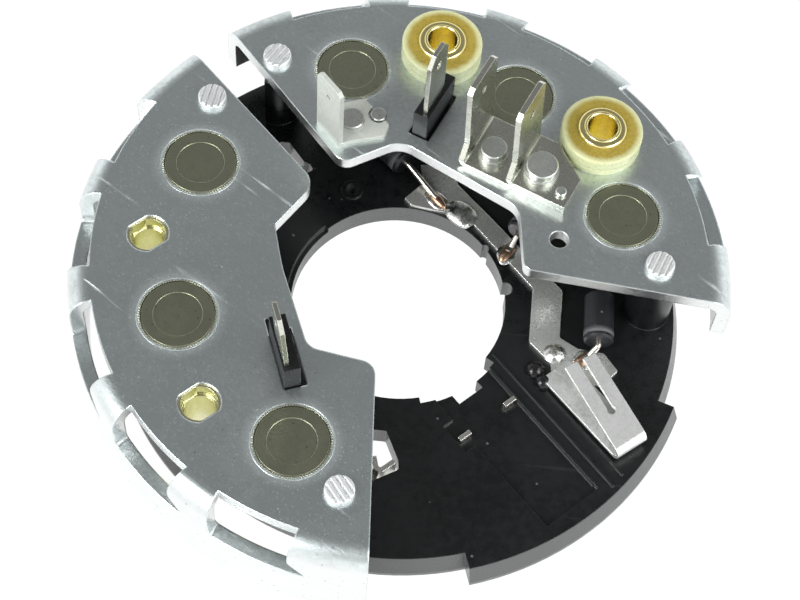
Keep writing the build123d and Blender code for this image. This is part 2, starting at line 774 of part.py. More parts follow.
def conductor_grooves():
    """Grooves of the underside that hold the phase conductors."""
    cutters = []
    for name, runs in conductor_runs().items():
        cutters += laid_runs(runs, STRIP_WIDTH + 2 * GROOVE_SIDE, -1, GROOVE_DEPTH)
        cutters += [stem_groove(FORKS[name]), fork_window(FORKS[name])]
    cutters += [slab(nub_face(place, FIT), 0, BASE_FLOOR + 1) for place in NUBS]
    return cutters


def ring_holes():
    """Holes of the ring for leads, mounts and rivets."""
    low, high = -1, BASE_FLOOR + 1
    cutters = [rod(place, wire + 0.8, low, high) for place, wire in lead_passages()]
    cutters += [rod(place, SPACER_RADIUS + GROOVE_SIDE, low, high) for place in NEGATIVE_MOUNTS]
    cutters += [rod(place, BUSH_RADIUS + GROOVE_SIDE, low, high) for place in POSITIVE_MOUNTS]
    hole_bottom = PLATE_TOP - RIVET_DEPTH - FIT
    cutters += [rod((x, y), RIVET_SHANK + FIT, hole_bottom, PLATE_TOP) for x, y, _ in RIVETS.values()]
    return cutters


def pillar(name):
    """The pillar under a rivet; one has a flat on the side of the other heatsink."""
    x, y, _ = RIVETS[name]
    body = rod((x, y), PILLAR_RADIUS, 0, PLATE_TOP - SHEET)
    flat_name, flat_distance = PILLAR_FLAT
    if name == flat_name:
        beside = Pos(x - flat_distance - PILLAR_RADIUS, y) * Rectangle(2 * PILLAR_RADIUS, 3 * PILLAR_RADIUS)
        body -= slab(beside, BASE_FLOOR, PLATE_TOP)
    return body


def cup_reliefs():
    """Room for the diode cups between the pillars and posts."""
    places = diode_places(NEGATIVE_FIRST) + diode_places(POSITIVE_FIRST)
    radius = DIODE_RADIUS + CUP_CLEARANCE
    return [rod(place, radius, diode_mouth() - CUP_CLEARANCE, PLATE_TOP) for place in places]


def base_ring():
    """The moulded ring in one piece with its pillars and posts."""
    body = ring_body() - channel_recess()
    for rib in channel_ribs():
        body += rib
    for name in RIVETS:
        body += pillar(name)
    body += moulded_post(NEGATIVE_POST, NEGATIVE_STEM, NEGATIVE_TAB)
    body += moulded_post(POSITIVE_POST, POSITIVE_STEM, POSITIVE_TAB)
    body += rod(BOSS[:2], BOSS[2], BASE_FLOOR - 1, BASE_FLOOR + 0.4)
    body -= rod(BOSS[:2], BOSS[3], BASE_FLOOR - 2, BASE_FLOOR + 1)
    for cutter in bore_reliefs() + conductor_grooves() + ring_holes() + cup_reliefs():
        body -= cutter
    return body


# Rivets

def grooved_rivet(x, y, turn):
    """A rivet with parallel grooves across its head."""
    top = PLATE_TOP + RIVET_HEAD_HEIGHT
    head = fillet(top_edges(rod((0, 0), RIVET_HEAD_RADIUS, PLATE_TOP, top)), 0.35)
    for number in range(RIVET_GROOVES):
        offset = (number - (RIVET_GROOVES - 1) / 2) * RIVET_GROOVE_PITCH
        head -= Pos(0, offset, top) * Box(8, RIVET_GROOVE_WIDTH, 2 * RIVET_GROOVE_DEPTH)
    head += rod((0, 0), RIVET_SHANK, PLATE_TOP - RIVET_DEPTH, PLATE_TOP + 0.2)
    return framed(x, y, turn) * head


# Spacers, bushes, washers and eyelets at the mounting holes

def spacer(place):
    """A plated tube whose keyed mouth fits the grounded heatsink."""
    round_wall, flat_wall = SPACER_MOUTH_WALL
    radius, flats = KEYED_HOLE_RADIUS - FIT, KEYED_HOLE_FLATS - 2 * FIT
    body = rod((0, 0), SPACER_RADIUS, 0, PLATE_TOP - SHEET)
    body += slab(keyed_shape(radius, flats), PLATE_TOP - SHEET - 1, PLATE_TOP - SPACER_SINK)
    body -= rod((0, 0), MOUNT_BORE, -1, PLATE_TOP + 1)
    mouth = keyed_shape(radius - round_wall, flats - 2 * flat_wall)
    return Pos(*place, 0) * (body - slab(mouth, PLATE_TOP - SPACER_MOUTH_DEPTH, PLATE_TOP + 1))


def insulating_bush(place):
    """The lower bush: a sleeve under the plate with a spigot through its hole."""
    under = PLATE_TOP - SHEET
    bore = EYELET_RADIUS + FIT
    body = tube(bore, BUSH_RADIUS, EYELET_LIP, under)
    body += tube(bore, BUSH_SPIGOT, under, PLATE_TOP + WASHER_LOWER)
    return Pos(*place, 0) * body


def insulating_washer(place):
    """The lower washer on the insulated heatsink, round the bush's spigot."""
    washer = fillet(top_edges(rod((0, 0), WASHER_RADIUS, PLATE_TOP, PLATE_TOP + WASHER_LOWER)), 0.3)
    washer -= rod((0, 0), BUSH_SPIGOT + FIT, PLATE_TOP - 1, PLATE_TOP + WASHER_LOWER + 1)
    return Pos(*place, 0) * washer


def cover_washer(place):
    """The upper washer, under the eyelet's flange."""
    bottom = PLATE_TOP + WASHER_LOWER
    washer = rod((0, 0), WASHER_RADIUS, bottom, bottom + WASHER_UPPER)
    washer = fillet(top_edges(washer), 0.4)
    washer -= rod((0, 0), EYELET_RADIUS + FIT, bottom - 1, bottom + WASHER_UPPER + 1)
    return Pos(*place, 0) * washer


def eyelet(place):
    """A tube with a rolled flange at its top and a flat one at its foot."""
    seat = PLATE_TOP + WASHER_LOWER + WASHER_UPPER
    body = rod((0, 0), EYELET_RADIUS, 0, seat + EYELET_LIP)
    body += fillet(top_edges(rod((0, 0), EYELET_FLANGE, seat, seat + EYELET_LIP)), EYELET_ROUND)
    body += rod((0, 0), BUSH_RADIUS - 0.3, 0, EYELET_LIP)
    body -= rod((0, 0), MOUNT_BORE, -1, seat + 2)
    return Pos(*place, 0) * body


# Tab terminals on the insulated heatsink

def terminal_place(name):
    """Plan place of a terminal's rivet or pin."""
    u, v = TERMINAL_RIVETS[name][0]
    if name.startswith("twin"):
        point = framed(*TWIN_PLACE) * Pos(u, v)
        return (point.position.X, point.position.Y)
    return (u, v)


def twin_bracket(level):
    """One bracket of the twin terminal: a riveted foot and an upright tab."""
    start = level * TWIN_SECOND
    bottom = PLATE_TOP + level * TWIN_SHEET
    top = PLATE_TOP + TWIN_TAB_TOPS[level]
    reach = TWIN_LENGTH - start
    corner_u, corner_v = TWIN_CORNER
    path = FilletPolyline((reach, 0), (0, 0), (-TWIN_LEAN, top - bottom), radius=0.9)
    section = Location((start + TWIN_SHEET / 2, 0, bottom + TWIN_SHEET / 2), (90, 0, 0))
    sheet = section * extrude(trace(path, TWIN_SHEET), -TWIN_DEPTH)
    foot = Polygon((start - 2, 0), (TWIN_LENGTH, 0), (TWIN_LENGTH, corner_v), (corner_u, TWIN_DEPTH),
                   (start - 2, TWIN_DEPTH), align=None)
    inset = TWIN_DEPTH - TWIN_TAB_WIDTH
    side = Polygon(
        (0, bottom - 1),
        (TWIN_DEPTH, bottom - 1),
        (TWIN_DEPTH, top - TWIN_TIP),
        (TWIN_DEPTH - TWIN_TIP, top),
        (inset + TWIN_TIP, top),
        (inset, top - TWIN_TIP),
        (inset, bottom + TWIN_NECK),
        (0, bottom + TWIN_NECK_FOOT),
        align=None,
    )
    side -= Pos(inset + TWIN_TAB_WIDTH / 2, top - 4.4) * Circle(TAB_EYE)
    tab_zone = Pos(start - 3, 0, 0) * extrude(Plane.YZ * side, TWIN_LENGTH + 4)
    body = framed(*TWIN_PLACE) * (sheet & slab(foot, bottom - 1, top + 1) & tab_zone)
    for name in ("twin_left", "twin_right", "twin_pin"):
        hole = rod(terminal_place(name), TERMINAL_RIVETS[name][1] + FIT, PLATE_TOP - 1, PLATE_TOP + 3)
        body -= hole
    return body


def terminal_rivet(name, seat, collar=False):
    """A flat-headed rivet or pin through a terminal's foot and the plate."""
    _, shank, head, height = TERMINAL_RIVETS[name]
    under = PLATE_TOP - SHEET
    body = rod((0, 0), head, seat, seat + height)
    body = chamfer(top_edges(body), 0.2)
    if collar:
        body += rod((0, 0), head + COLLAR, seat, seat + COLLAR_HEIGHT)
    body += rod((0, 0), shank, under - TAIL_HEIGHT, seat)
    body += rod((0, 0), head * 0.85, under - TAIL_HEIGHT, under)
    return Pos(*terminal_place(name), 0) * body


def single_terminal():
    """The single bracket beside the plate's left edge."""
    body = slab(outline(SINGLE_FOOT), PLATE_TOP, PLATE_TOP + SINGLE_SHEET)
    start, end = SINGLE_BEND
    turn = heading(start, end)
    width = (Vector(*end) - Vector(*start)).length
    side = tab_profile(width, 0, SINGLE_RISE, SINGLE_TIP, SINGLE_TIP)
    side -= Pos(width / 2, SINGLE_RISE - 4.0) * Circle(0.55)
    tab = Rot(90, 0, 0) * extrude(side, SINGLE_SHEET / 2, both=True)
    body += Location((*start, PLATE_TOP), (0, 0, turn)) * Pos(0, -SINGLE_SHEET / 2, 0) * tab
    body -= through(terminal_place("single"), TERMINAL_RIVETS["single"][1] + FIT)
    return body - through(terminal_place("single_pin"), SINGLE_NOTCH)


# Solder and sealing beads

def bead(x, y, base, radius, height):
    """A low domed drop."""
    ball = (radius * radius + height * height) / (2 * height)
    zone = rod((x, y), radius + 0.1, base, base + height + 1)
    return Pos(x, y, base + height - ball) * Sphere(ball) & zone


def contact_solder():
    """Solder on the bus strip beside the contact."""
    return bead(28.2, -8.0, BASE_FLOOR + BUS_SHEET, 2.0, 0.9)


def sealing_beads():
    """Dark sealing compound beside the contact's leg."""
    beads = bead(25.0, -11.3, BASE_FLOOR, 1.9, 1.5) + bead(26.6, -13.6, BASE_FLOOR, 1.7, 1.6)
    return beads - bus_strip() - spring_contact()


def nodes():
    """All nodes by name."""
    shapes = {
        "base_ring": base_ring(),
        "negative_heatsink": negative_heatsink(),
        "positive_heatsink": positive_heatsink(),
        "exciter_bus_strip": bus_strip(),
        "spring_contact": spring_contact(),
        "contact_solder": contact_solder(),
        "sealing_beads": sealing_beads(),
        "negative_post_tab": post_tab(NEGATIVE_POST, NEGATIVE_TAB),
        "positive_post_tab": post_tab(POSITIVE_POST, POSITIVE_TAB),
        "twin_terminal_lower": twin_bracket(0),
        "twin_terminal_upper": twin_bracket(1),
        "twin_left_rivet": terminal_rivet("twin_left", PLATE_TOP + TWIN_SHEET, collar=True),
        "twin_right_rivet": terminal_rivet("twin_right", PLATE_TOP + 2 * TWIN_SHEET, collar=True),
        "twin_pin": terminal_rivet("twin_pin", PLATE_TOP + 2 * TWIN_SHEET),
        "single_terminal": single_terminal(),
        "single_rivet": terminal_rivet("single", PLATE_TOP + SINGLE_SHEET),
        "single_pin": terminal_rivet("single_pin", PLATE_TOP),
    }
    for side, first in (("negative", NEGATIVE_FIRST), ("positive", POSITIVE_FIRST)):
        for number, place in enumerate(diode_places(first), 1):
            shapes[f"{side}_diode_{number}"] = diode_cup(place)
            shapes[f"{side}_diode_seal_{number}"] = diode_seal(place)
            shapes[f"{side}_diode_lead_{number}"] = diode_lead(place)
    for name in FORKS:
        shapes[f"phase_conductor_{name}"] = phase_conductor(name)
    for name, place in RIVETS.items():
        shapes[f"rivet_{name}"] = grooved_rivet(*place)
    for name, exciter in EXCITERS.items():
        shapes[f"exciter_diode_{name}"] = exciter_body(exciter)
        shapes[f"exciter_lead_{name}"] = exciter_lead(exciter)
    for number, place in enumerate(NEGATIVE_MOUNTS, 1):
        shapes[f"spacer_{number}"] = spacer(place)
    for number, place in enumerate(POSITIVE_MOUNTS, 1):
        shapes[f"insulating_bush_{number}"] = insulating_bush(place)
        shapes[f"insulating_washer_{number}"] = insulating_washer(place)
        shapes[f"cover_washer_{number}"] = cover_washer(place)
        shapes[f"eyelet_{number}"] = eyelet(place)
    return shapes


os.makedirs("parts", exist_ok=True)
for node, shape in nodes().items():
    export_step(shape, os.path.join("parts", node + ".step"))
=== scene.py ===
import logging
import math
from dataclasses import dataclass
from enum import Enum

import bpy
import numpy as np
from mathutils import Matrix, Vector


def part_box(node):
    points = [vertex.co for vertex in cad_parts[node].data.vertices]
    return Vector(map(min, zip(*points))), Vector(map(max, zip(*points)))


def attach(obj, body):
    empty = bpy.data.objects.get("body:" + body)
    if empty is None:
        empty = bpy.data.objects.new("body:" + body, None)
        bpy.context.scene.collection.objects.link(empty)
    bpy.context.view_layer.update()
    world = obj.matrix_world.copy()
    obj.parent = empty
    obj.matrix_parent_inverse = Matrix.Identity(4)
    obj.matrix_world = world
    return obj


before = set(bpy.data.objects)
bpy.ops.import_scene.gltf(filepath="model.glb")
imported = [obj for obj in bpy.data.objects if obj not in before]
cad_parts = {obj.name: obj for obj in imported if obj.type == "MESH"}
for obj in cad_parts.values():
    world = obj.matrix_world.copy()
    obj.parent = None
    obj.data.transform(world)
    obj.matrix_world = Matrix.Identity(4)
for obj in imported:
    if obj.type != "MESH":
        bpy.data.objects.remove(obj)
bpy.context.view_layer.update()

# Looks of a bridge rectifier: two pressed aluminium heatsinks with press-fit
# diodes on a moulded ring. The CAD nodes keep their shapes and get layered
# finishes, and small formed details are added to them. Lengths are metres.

LOG = logging.getLogger("rectifier")
MM = 0.001
PLATE_TOP = 20.0 * MM
RING_FLOOR = 4.5 * MM
SIDES = ("negative", "positive")
CUPS = (1, 2, 3)

Pair = tuple[float, float]
Triple = tuple[float, float, float]
Colour = Triple
Material = bpy.types.Material
Piece = bpy.types.Object
Node = bpy.types.Node
Group = bpy.types.NodeTree
Socket = bpy.types.NodeSocket
Grid = np.ndarray
Value = Socket | float | tuple
Inputs = dict[str | int, Value]


class Lay(Enum):
    """Direction of the rolling marks of a sheet, as a turn about Z in degrees."""

    ALONG_X = 0.0
    ALONG_Y = 90.0
    SLANTED = 34.0


class Graph:
    """A node tree under construction, with short calls for the nodes it needs."""

    def __init__(self, tree: Group) -> None:
        """Starts on a material's or group's tree."""
        self.tree = tree
        self.nodes = tree.nodes
        self.links = tree.links

    def add(self, kind: str, inputs: Inputs | None = None, **settings: object) -> Node:
        """Adds a node, sets its properties and feeds its inputs.

        Args:
            kind: The node's type name.
            inputs: Its inputs by name or number.
            settings: Property values by name.

        Returns:
            The new node.
        """
        node = self.nodes.new(kind)
        for name, value in settings.items():
            setattr(node, name, value)
        self.fill(node, inputs or {})
        return node

    def fill(self, node: Node, inputs: Inputs) -> None:
        """Feeds a node's inputs, given by name or number."""
        for name, value in inputs.items():
            self.feed(node.inputs[name], value)

    def feed(self, socket: Socket, value: Value) -> None:
        """Links a socket to another, or sets its constant.

        Args:
            socket: The input socket.
            value: A socket, a number or a tuple.
        """
        if isinstance(value, Socket):
            self.links.new(value, socket)
        elif isinstance(value, tuple) and socket.type == "RGBA" and len(value) == 3:
            socket.default_value = (*value, 1.0)
        else:
            socket.default_value = value

    def math(self, operation: str, *values: Value, clamp: bool = False) -> Socket:
        """A scalar operation.

        Args:
            operation: The Math node's operation.
            values: Its operands.
            clamp: Whether the result is kept in 0 to 1.

        Returns:
            The result's socket.
        """
        operands = dict(enumerate(values))
        return self.add("ShaderNodeMath", operands, operation=operation, use_clamp=clamp).outputs[0]

    def product(self, *values: Value, clamp: bool = False) -> Socket:
        """The product of two or more values, kept in 0 to 1 if it is clamped."""
        total, *middle, last = values
        for value in middle:
            total = self.math("MULTIPLY", total, value)
        return self.math("MULTIPLY", total, last, clamp=clamp)

    def vector(self, operation: str, *values: Value) -> Socket:
        """A vector operation.

        Args:
            operation: The Vector Math node's operation.
            values: Its operands.

        Returns:
            The vector result, or the value for DOT_PRODUCT and LENGTH.
        """
        node = self.add("ShaderNodeVectorMath", dict(enumerate(values)), operation=operation)
        return node.outputs[1 if operation in ("DOT_PRODUCT", "LENGTH") else 0]

    def mix(self, factor: Value, first: Value, second: Value) -> Socket:
        """A blend of two colours.

        Args:
            factor: Share of the second.
            first: Colour at zero.
            second: Colour at one.

        Returns:
            The blended colour.
        """
        node = self.add("ShaderNodeMix", {0: factor, 6: first, 7: second}, data_type="RGBA")
        return node.outputs[2]

    def span(self, value: Value, low: float, high: float, to_low: float = 0.0,
             to_high: float = 1.0) -> Socket:
        """A value carried smoothly from one range to another and held at its ends.

        Args:
            value: The value.
            low: Start of its range.
            high: End of its range.
            to_low: Result at the start.
            to_high: Result at the end.

        Returns:
            The result.
        """
        ranges = dict(enumerate((value, low, high, to_low, to_high)))
        return self.add("ShaderNodeMapRange", ranges, interpolation_type="SMOOTHSTEP").outputs[0]

    def noise(self, vector: Value, scale: Value, detail: float = 4.0,
              roughness: float = 0.55) -> Socket:
        """Fractal noise.

        Args:
            vector: Where it is read.
            scale: Its fineness.
            detail: Number of octaves.
            roughness: Strength of the finer octaves.

        Returns:
            The noise, about 0.5.
        """
        inputs = {"Vector": vector, "Scale": scale, "Detail": detail, "Roughness": roughness}
        return self.add("ShaderNodeTexNoise", inputs).outputs[0]

    def place(self, vector: Value, turn: float = 0.0,
              scale: Triple = (1.0, 1.0, 1.0)) -> Socket:
        """A vector turned about Z and scaled.

        Args:
            vector: The vector.
            turn: The turn in degrees.
            scale: Factor on each axis.

        Returns:
            The new vector.
        """
        rotation = (0.0, 0.0, math.radians(turn))
        inputs = {"Vector": vector, "Rotation": rotation, "Scale": scale}
        return self.add("ShaderNodeMapping", inputs, vector_type="POINT").outputs[0]

    def upward(self, vector: Value) -> Socket:
        """The Z part of a vector."""
        return self.add("ShaderNodeSeparateXYZ", {0: vector}).outputs[2]

    def from_axis(self, point: Value, centre: Value) -> Socket:
        """The distance of a point from the upright axis through a centre."""
        local = self.vector("SUBTRACT", point, centre)
        return self.vector("LENGTH", self.vector("MULTIPLY", local, (1.0, 1.0, 0.0)))

    def normal(self) -> Socket:
        """The surface's normal."""
        return self.add("ShaderNodeNewGeometry").outputs["Normal"]

    def bump(self, height: Value, strength: float, distance: float,
             normal: Socket | None = None) -> Socket:
        """The normal of a surface raised by a height.

        Args:
            height: The height, in shares of the distance.
            strength: Share of the slope that is kept.
            distance: Rise at a height of one.
            normal: The normal to start from, if not the surface's own.

        Returns:
            The bent normal.
        """
        inputs = {"Strength": strength, "Distance": distance, "Height": height}
        if normal is not None:
            inputs["Normal"] = normal
        return self.add("ShaderNodeBump", inputs).outputs[0]

    def mark(self, colour: Value, mask: Value, amount: float, second: Value) -> Socket:
        """A colour with marks of a second one, whose mask is weakened by an amount."""
        return self.mix(self.product(mask, amount), colour, second)

    def shaded(self, tone: Socket, tint: Colour, low: float, high: float) -> Socket:
        """A tint made darker or lighter by a factor that follows the tone."""
        return self.mix(tone, scaled(tint, low), scaled(tint, high))

    def dulled(self, tone: Socket, roughness: float, low: float, high: float) -> Socket:
        """A roughness times a factor that follows the tone."""
        return self.span(tone, 0.0, 1.0, roughness * low, roughness * high)

    def object_coordinates(self) -> Socket:
        """The point on the surface, in the frame of the whole object."""
        return self.add("ShaderNodeTexCoord").outputs["Object"]


class Effects:
    """The shader groups that several finishes share, each built once.

    Scales are marks a metre, and spans are the values of a noise between
    which a mark fades in.
    """

    bevel_samples = 6
    wear_scale = 900.0
    wear_span = (0.3, 0.6)
    least_wear = 0.25
    streak = (0.06, 1.0, 1.0)
    fine_clouds = 14.0
    cloud_shares = (0.6, 0.4)
    tone_span = (0.36, 0.64)
    scratch_sets = ((17.0, 700.0, 0.035), (-58.0, 560.0, 0.03), (101.0, 820.0, 0.05))
    scratch_span = (0.735, 0.79)
    scratch_gain = 2.0
    patch_scale = 120.0
    patch_span = (0.35, 0.65)
    speck_size = 0.32

    def __init__(self) -> None:
        """Builds every group."""
        self.edges = self._edges()
        self.grain = self._grain()
        self.scratches = self._scratches()
        self.specks = self._specks()
        self.turning = self._turning()

    @staticmethod
    def _open(name: str, inputs: dict[str, float | tuple], outputs: tuple[str, ...]) -> tuple:
        """Makes a group that reads a point, with named sockets.

        Args:
            name: The group's name.
            inputs: Default of each further input, a number or a vector.
            outputs: Its outputs, of which only Normal is a vector.

        Returns:
            The group's graph, the point, its inputs and its outputs by name.
        """
        tree = bpy.data.node_groups.new(name, "ShaderNodeTree")
        sockets = tree.interface
        for label, default in {"Vector": (0, 0, 0), **inputs}.items():
            kind = "NodeSocketVector" if isinstance(default, tuple) else "NodeSocketFloat"
            sockets.new_socket(name=label, in_out="INPUT", socket_type=kind).default_value = default
        for label in outputs:
            kind = "NodeSocketVector" if label == "Normal" else "NodeSocketFloat"
            sockets.new_socket(name=label, in_out="OUTPUT", socket_type=kind)
        graph = Graph(tree)
        ins = graph.add("NodeGroupInput").outputs
        outs = graph.add("NodeGroupOutput").inputs
        return graph, ins["Vector"], ins, outs

    def _edges(self) -> Group:
        """Rounded normals at edges, and a broken mask along them that the finishes lighten, partly
        as worn edges and partly as a painted edge highlight.

        The mask is one less the cosine between the rounded and the plain
        normal, multiplied by noise.
        """
        graph, point, ins, outs = self._open("worn_edges_painted_highlight", {"Radius": 0.3 * MM, "Amount": 6.0},
                                             ("Normal", "WearAndHighlight"))
        radius = {"Radius": ins["Radius"]}
        rounded = graph.add("ShaderNodeBevel", radius, samples=self.bevel_samples).outputs[0]
        cosine = graph.vector("DOT_PRODUCT", rounded, graph.normal())
        bend = graph.math("SUBTRACT", 1.0, cosine)
        noise = graph.noise(point, self.wear_scale, 5.0)
        broken = graph.span(noise, *self.wear_span, self.least_wear, 1.0)
        graph.feed(outs["Normal"], rounded)
        graph.feed(outs["WearAndHighlight"], graph.product(bend, ins["Amount"], broken, clamp=True))
        return graph.tree

    def _grain(self) -> Group:
        """Fine streaks along one direction, and slow clouds of tone."""
        graph, point, ins, outs = self._open("rolled_grain", {"Fineness": 2500.0, "Clouds": 70.0},
                                             ("Height", "Tone"))
        streak = graph.place(point, scale=self.streak)
        graph.feed(outs["Height"], graph.noise(streak, ins["Fineness"], 5.0, 0.65))
        slow = graph.noise(point, ins["Clouds"], 5.0, 0.6)
        fine = graph.noise(point, graph.product(ins["Clouds"], self.fine_clouds), 3.0, 0.7)
        slow_share, fine_share = self.cloud_shares
        tone = graph.math("ADD", graph.product(slow, slow_share), graph.product(fine, fine_share))
        graph.feed(outs["Tone"], graph.span(tone, *self.tone_span))
        return graph.tree

    def _scratches(self) -> Group:
        """Sparse thin scratches in three directions, where stretched noise peaks."""
        graph, point, ins, outs = self._open("scratches", {"Density": 0.5}, ("Mask",))
        total: Value = 0.0
        for turn, scale, stretch in self.scratch_sets:
            lie = graph.place(point, turn, (stretch, 1.0, 1.0))
            line = graph.span(graph.noise(lie, scale, 1.5, 0.4), *self.scratch_span)
            total = graph.math("ADD", total, line)
        patch = graph.span(graph.noise(point, self.patch_scale, 3.0), *self.patch_span)
        density = graph.product(ins["Density"], self.scratch_gain)
        graph.feed(outs["Mask"], graph.product(total, patch, density, clamp=True))
        return graph.tree

    def _specks(self) -> Group:
        """Small pits or dust: cells whose random value is low, near their centres."""
        graph, point, ins, outs = self._open("specks", {"Scale": 700.0, "Share": 0.2}, ("Mask",))
        cells = graph.add("ShaderNodeTexVoronoi", {"Vector": point, "Scale": ins["Scale"]}).outputs
        chance = graph.add("ShaderNodeSeparateColor", {0: cells["Color"]}).outputs
        chosen = graph.math("LESS_THAN", chance[0], ins["Share"])
        size = graph.product(chance[1], self.speck_size)
        near = graph.math("LESS_THAN", cells["Distance"], size)
        graph.feed(outs["Mask"], graph.product(chosen, near))
        return graph.tree

    def _turning(self) -> Group:
        """Distance from an upright axis, and the fine rings that a tool leaves round it."""
        graph, point, ins, outs = self._open(
            "turned_rings", {"Centre": (0, 0, 0), "Fineness": 9000.0}, ("Height", "Distance"))
        distance = graph.from_axis(point, ins["Centre"])
        spread = graph.add("ShaderNodeCombineXYZ", {0: distance}).outputs[0]
        graph.feed(outs["Height"], graph.noise(spread, ins["Fineness"], 2.0, 0.6))
        graph.feed(outs["Distance"], distance)
        return graph.tree

    @staticmethod
    def use(graph: Graph, group: Group, point: Socket, **inputs: Value) -> Node:
        """Places a group in a material.

        Args:
            graph: The material's graph.
            group: The shared group.
            point: Where it is read.
            inputs: Its other inputs by name.

        Returns:
            The group's node.
        """
        return graph.add("ShaderNodeGroup", {"Vector": point, **inputs}, node_tree=group)

    def mask(self, graph: Graph, group: Group, point: Socket, **inputs: Value) -> Socket:
        """The mask of a group of marks placed in a material."""
        return self.use(graph, group, point, **inputs).outputs["Mask"]


EFFECTS = Effects()


def emptied(holder: Material | bpy.types.World) -> Graph:
    """The cleared node graph of a new material or world."""
    holder.use_nodes = True
    graph = Graph(holder.node_tree)
    graph.nodes.clear()
    return graph


def open_material(name: str) -> tuple[Material, Graph, Node]:
    """Makes a node material with its own shader.

    Args:
        name: The material's name.

    Returns:
        The material, its graph and its Principled shader.
    """
    material = bpy.data.materials.new(name)
    graph = emptied(material)
    shader = graph.add("ShaderNodeBsdfPrincipled")
    graph.add("ShaderNodeOutputMaterial", {"Surface": shader.outputs[0]})
    return material, graph, shader


def facing_up(graph: Graph) -> Socket:
    """How level a surface lies: one on level faces, zero on upright ones."""
    return graph.math("ABSOLUTE", graph.upward(graph.normal()))


def scaled(colour: Colour, factor: float) -> Colour:
    """A colour made darker or lighter by a factor."""
    return tuple(min(1.0, part * factor) for part in colour)


@dataclass(frozen=True)
class SheetFinish:
    """Rolled or plated sheet metal with grain, clouds, scratches, pits, flecks, and edges
    lightened partly as worn metal and partly as a painted highlight. Upright faces can be
    made paler, a painted reflection of the white floor.

    The numbers that end in light or dark multiply the tint, and those that
    end in scale are marks a metre. Shares weaken the scratches, pits, worn and
    highlighted edges and flecks, dulling is what flecks, scratches, scuffs and the
    edge mask add to the roughness, and depths are those of scratches and pits in
    shares of the relief.
    """

    name: str
    tint: Colour
    roughness: float
    lay: Lay = Lay.ALONG_X
    contrast: float = 0.2
    grain: float = 0.05
    scratch: float = 0.3
    pits: float = 0.1
    edge_radius: float = 0.2 * MM
    edge_light: float = 1.2
    clouds: float = 70.0
    flecks: float = 0.05
    metallic: float = 1.0
    haloes: tuple[Triple, ...] = ()
    halo_span: Pair = (6.5 * MM, 9.0 * MM)
    halo_flecks: float = 0.3
    # The next three fields pale the upright faces: a painted reflection of the white floor.
    upright_painted_reflection: float = 0.0
    upright_painted_reflection_span: Pair = (0.1, 0.97)
    upright_painted_reflection_tint: Colour = (0.95, 0.97, 0.96)
    fleck_scale: float = 4000.0
    fleck_light: float = 1.4
    pit_scale: float = 1500.0
    pit_dark: float = 0.45
    line_light: float = 1.5
    shares: tuple[float, ...] = (0.55, 0.5, 1.0, 0.45)
    dulling: tuple[float, ...] = (0.22, 0.3, 0.1, -0.08)
    depths: Pair = (1.5, 1.0)
    fineness: float = 2400.0
    relief: float = 0.03 * MM

    def scuffed(self, graph: Graph, point: Socket) -> Value:
        """Mask of the scuffed zones round the pressed-in pieces.

        Args:
            graph: The material's graph.
            point: The point in the object's frame.

        Returns:
            One beside a piece, falling to zero away from it.
        """
        nearest: Value = 1.0
        for centre in self.haloes:
            nearest = graph.math("MINIMUM", nearest, graph.from_axis(point, centre))
        return graph.span(nearest, *self.halo_span, 1.0, 0.0) if self.haloes else 0.0

    def build(self) -> Material:
        """Makes the material."""
        material, graph, shader = open_material(self.name)
        plain = graph.object_coordinates()
        point = graph.place(plain, self.lay.value)
        halo = self.scuffed(graph, plain)
        share = graph.math("MULTIPLY_ADD", halo, self.halo_flecks, self.flecks)
        flecks = EFFECTS.mask(graph, EFFECTS.specks, point, Scale=self.fleck_scale, Share=share)
        edges = EFFECTS.use(graph, EFFECTS.edges, point, Radius=self.edge_radius, Amount=5.0)
        grain = EFFECTS.use(graph, EFFECTS.grain, point, Fineness=self.fineness, Clouds=self.clouds)
        lines = EFFECTS.mask(graph, EFFECTS.scratches, point, Density=self.scratch)
        pits = EFFECTS.mask(graph, EFFECTS.specks, point, Scale=self.pit_scale, Share=self.pits)
        tone, wear_and_highlight = grain.outputs["Tone"], edges.outputs["WearAndHighlight"]
        colour = graph.shaded(tone, self.tint, 1.0 - self.contrast, 1.0 + self.contrast / 2)
        # Upright faces are made paler: a painted reflection of the white floor.
        if self.upright_painted_reflection:
            upright = graph.span(facing_up(graph), *self.upright_painted_reflection_span, self.upright_painted_reflection, 0.0)
            colour = graph.mix(upright, colour, self.upright_painted_reflection_tint)
        # The edge mask lightens the edges by edge_light: partly worn metal, partly a painted
        # highlight.
        factors = (self.line_light, self.pit_dark, self.edge_light, self.fleck_light)
        for mask, weight, factor in zip((lines, pits, wear_and_highlight, flecks), self.shares, factors):
            colour = graph.mark(colour, mask, weight, scaled(self.tint, factor))
        rough = graph.dulled(tone, self.roughness, 1.2, 0.85)
        for mask, change in zip((flecks, lines, halo, wear_and_highlight), self.dulling):
            rough = graph.math("MULTIPLY_ADD", mask, change, rough)
        height = grain.outputs["Height"]
        for mask, depth in zip((lines, pits), self.depths):
            height = graph.math("MULTIPLY_ADD", mask, -depth, height)
        normal = graph.bump(height, self.grain * 4.0, self.relief, edges.outputs["Normal"])
        graph.fill(shader, {"Base Color": colour, "Metallic": self.metallic, "Roughness": rough,
                            "Normal": normal})
        return material


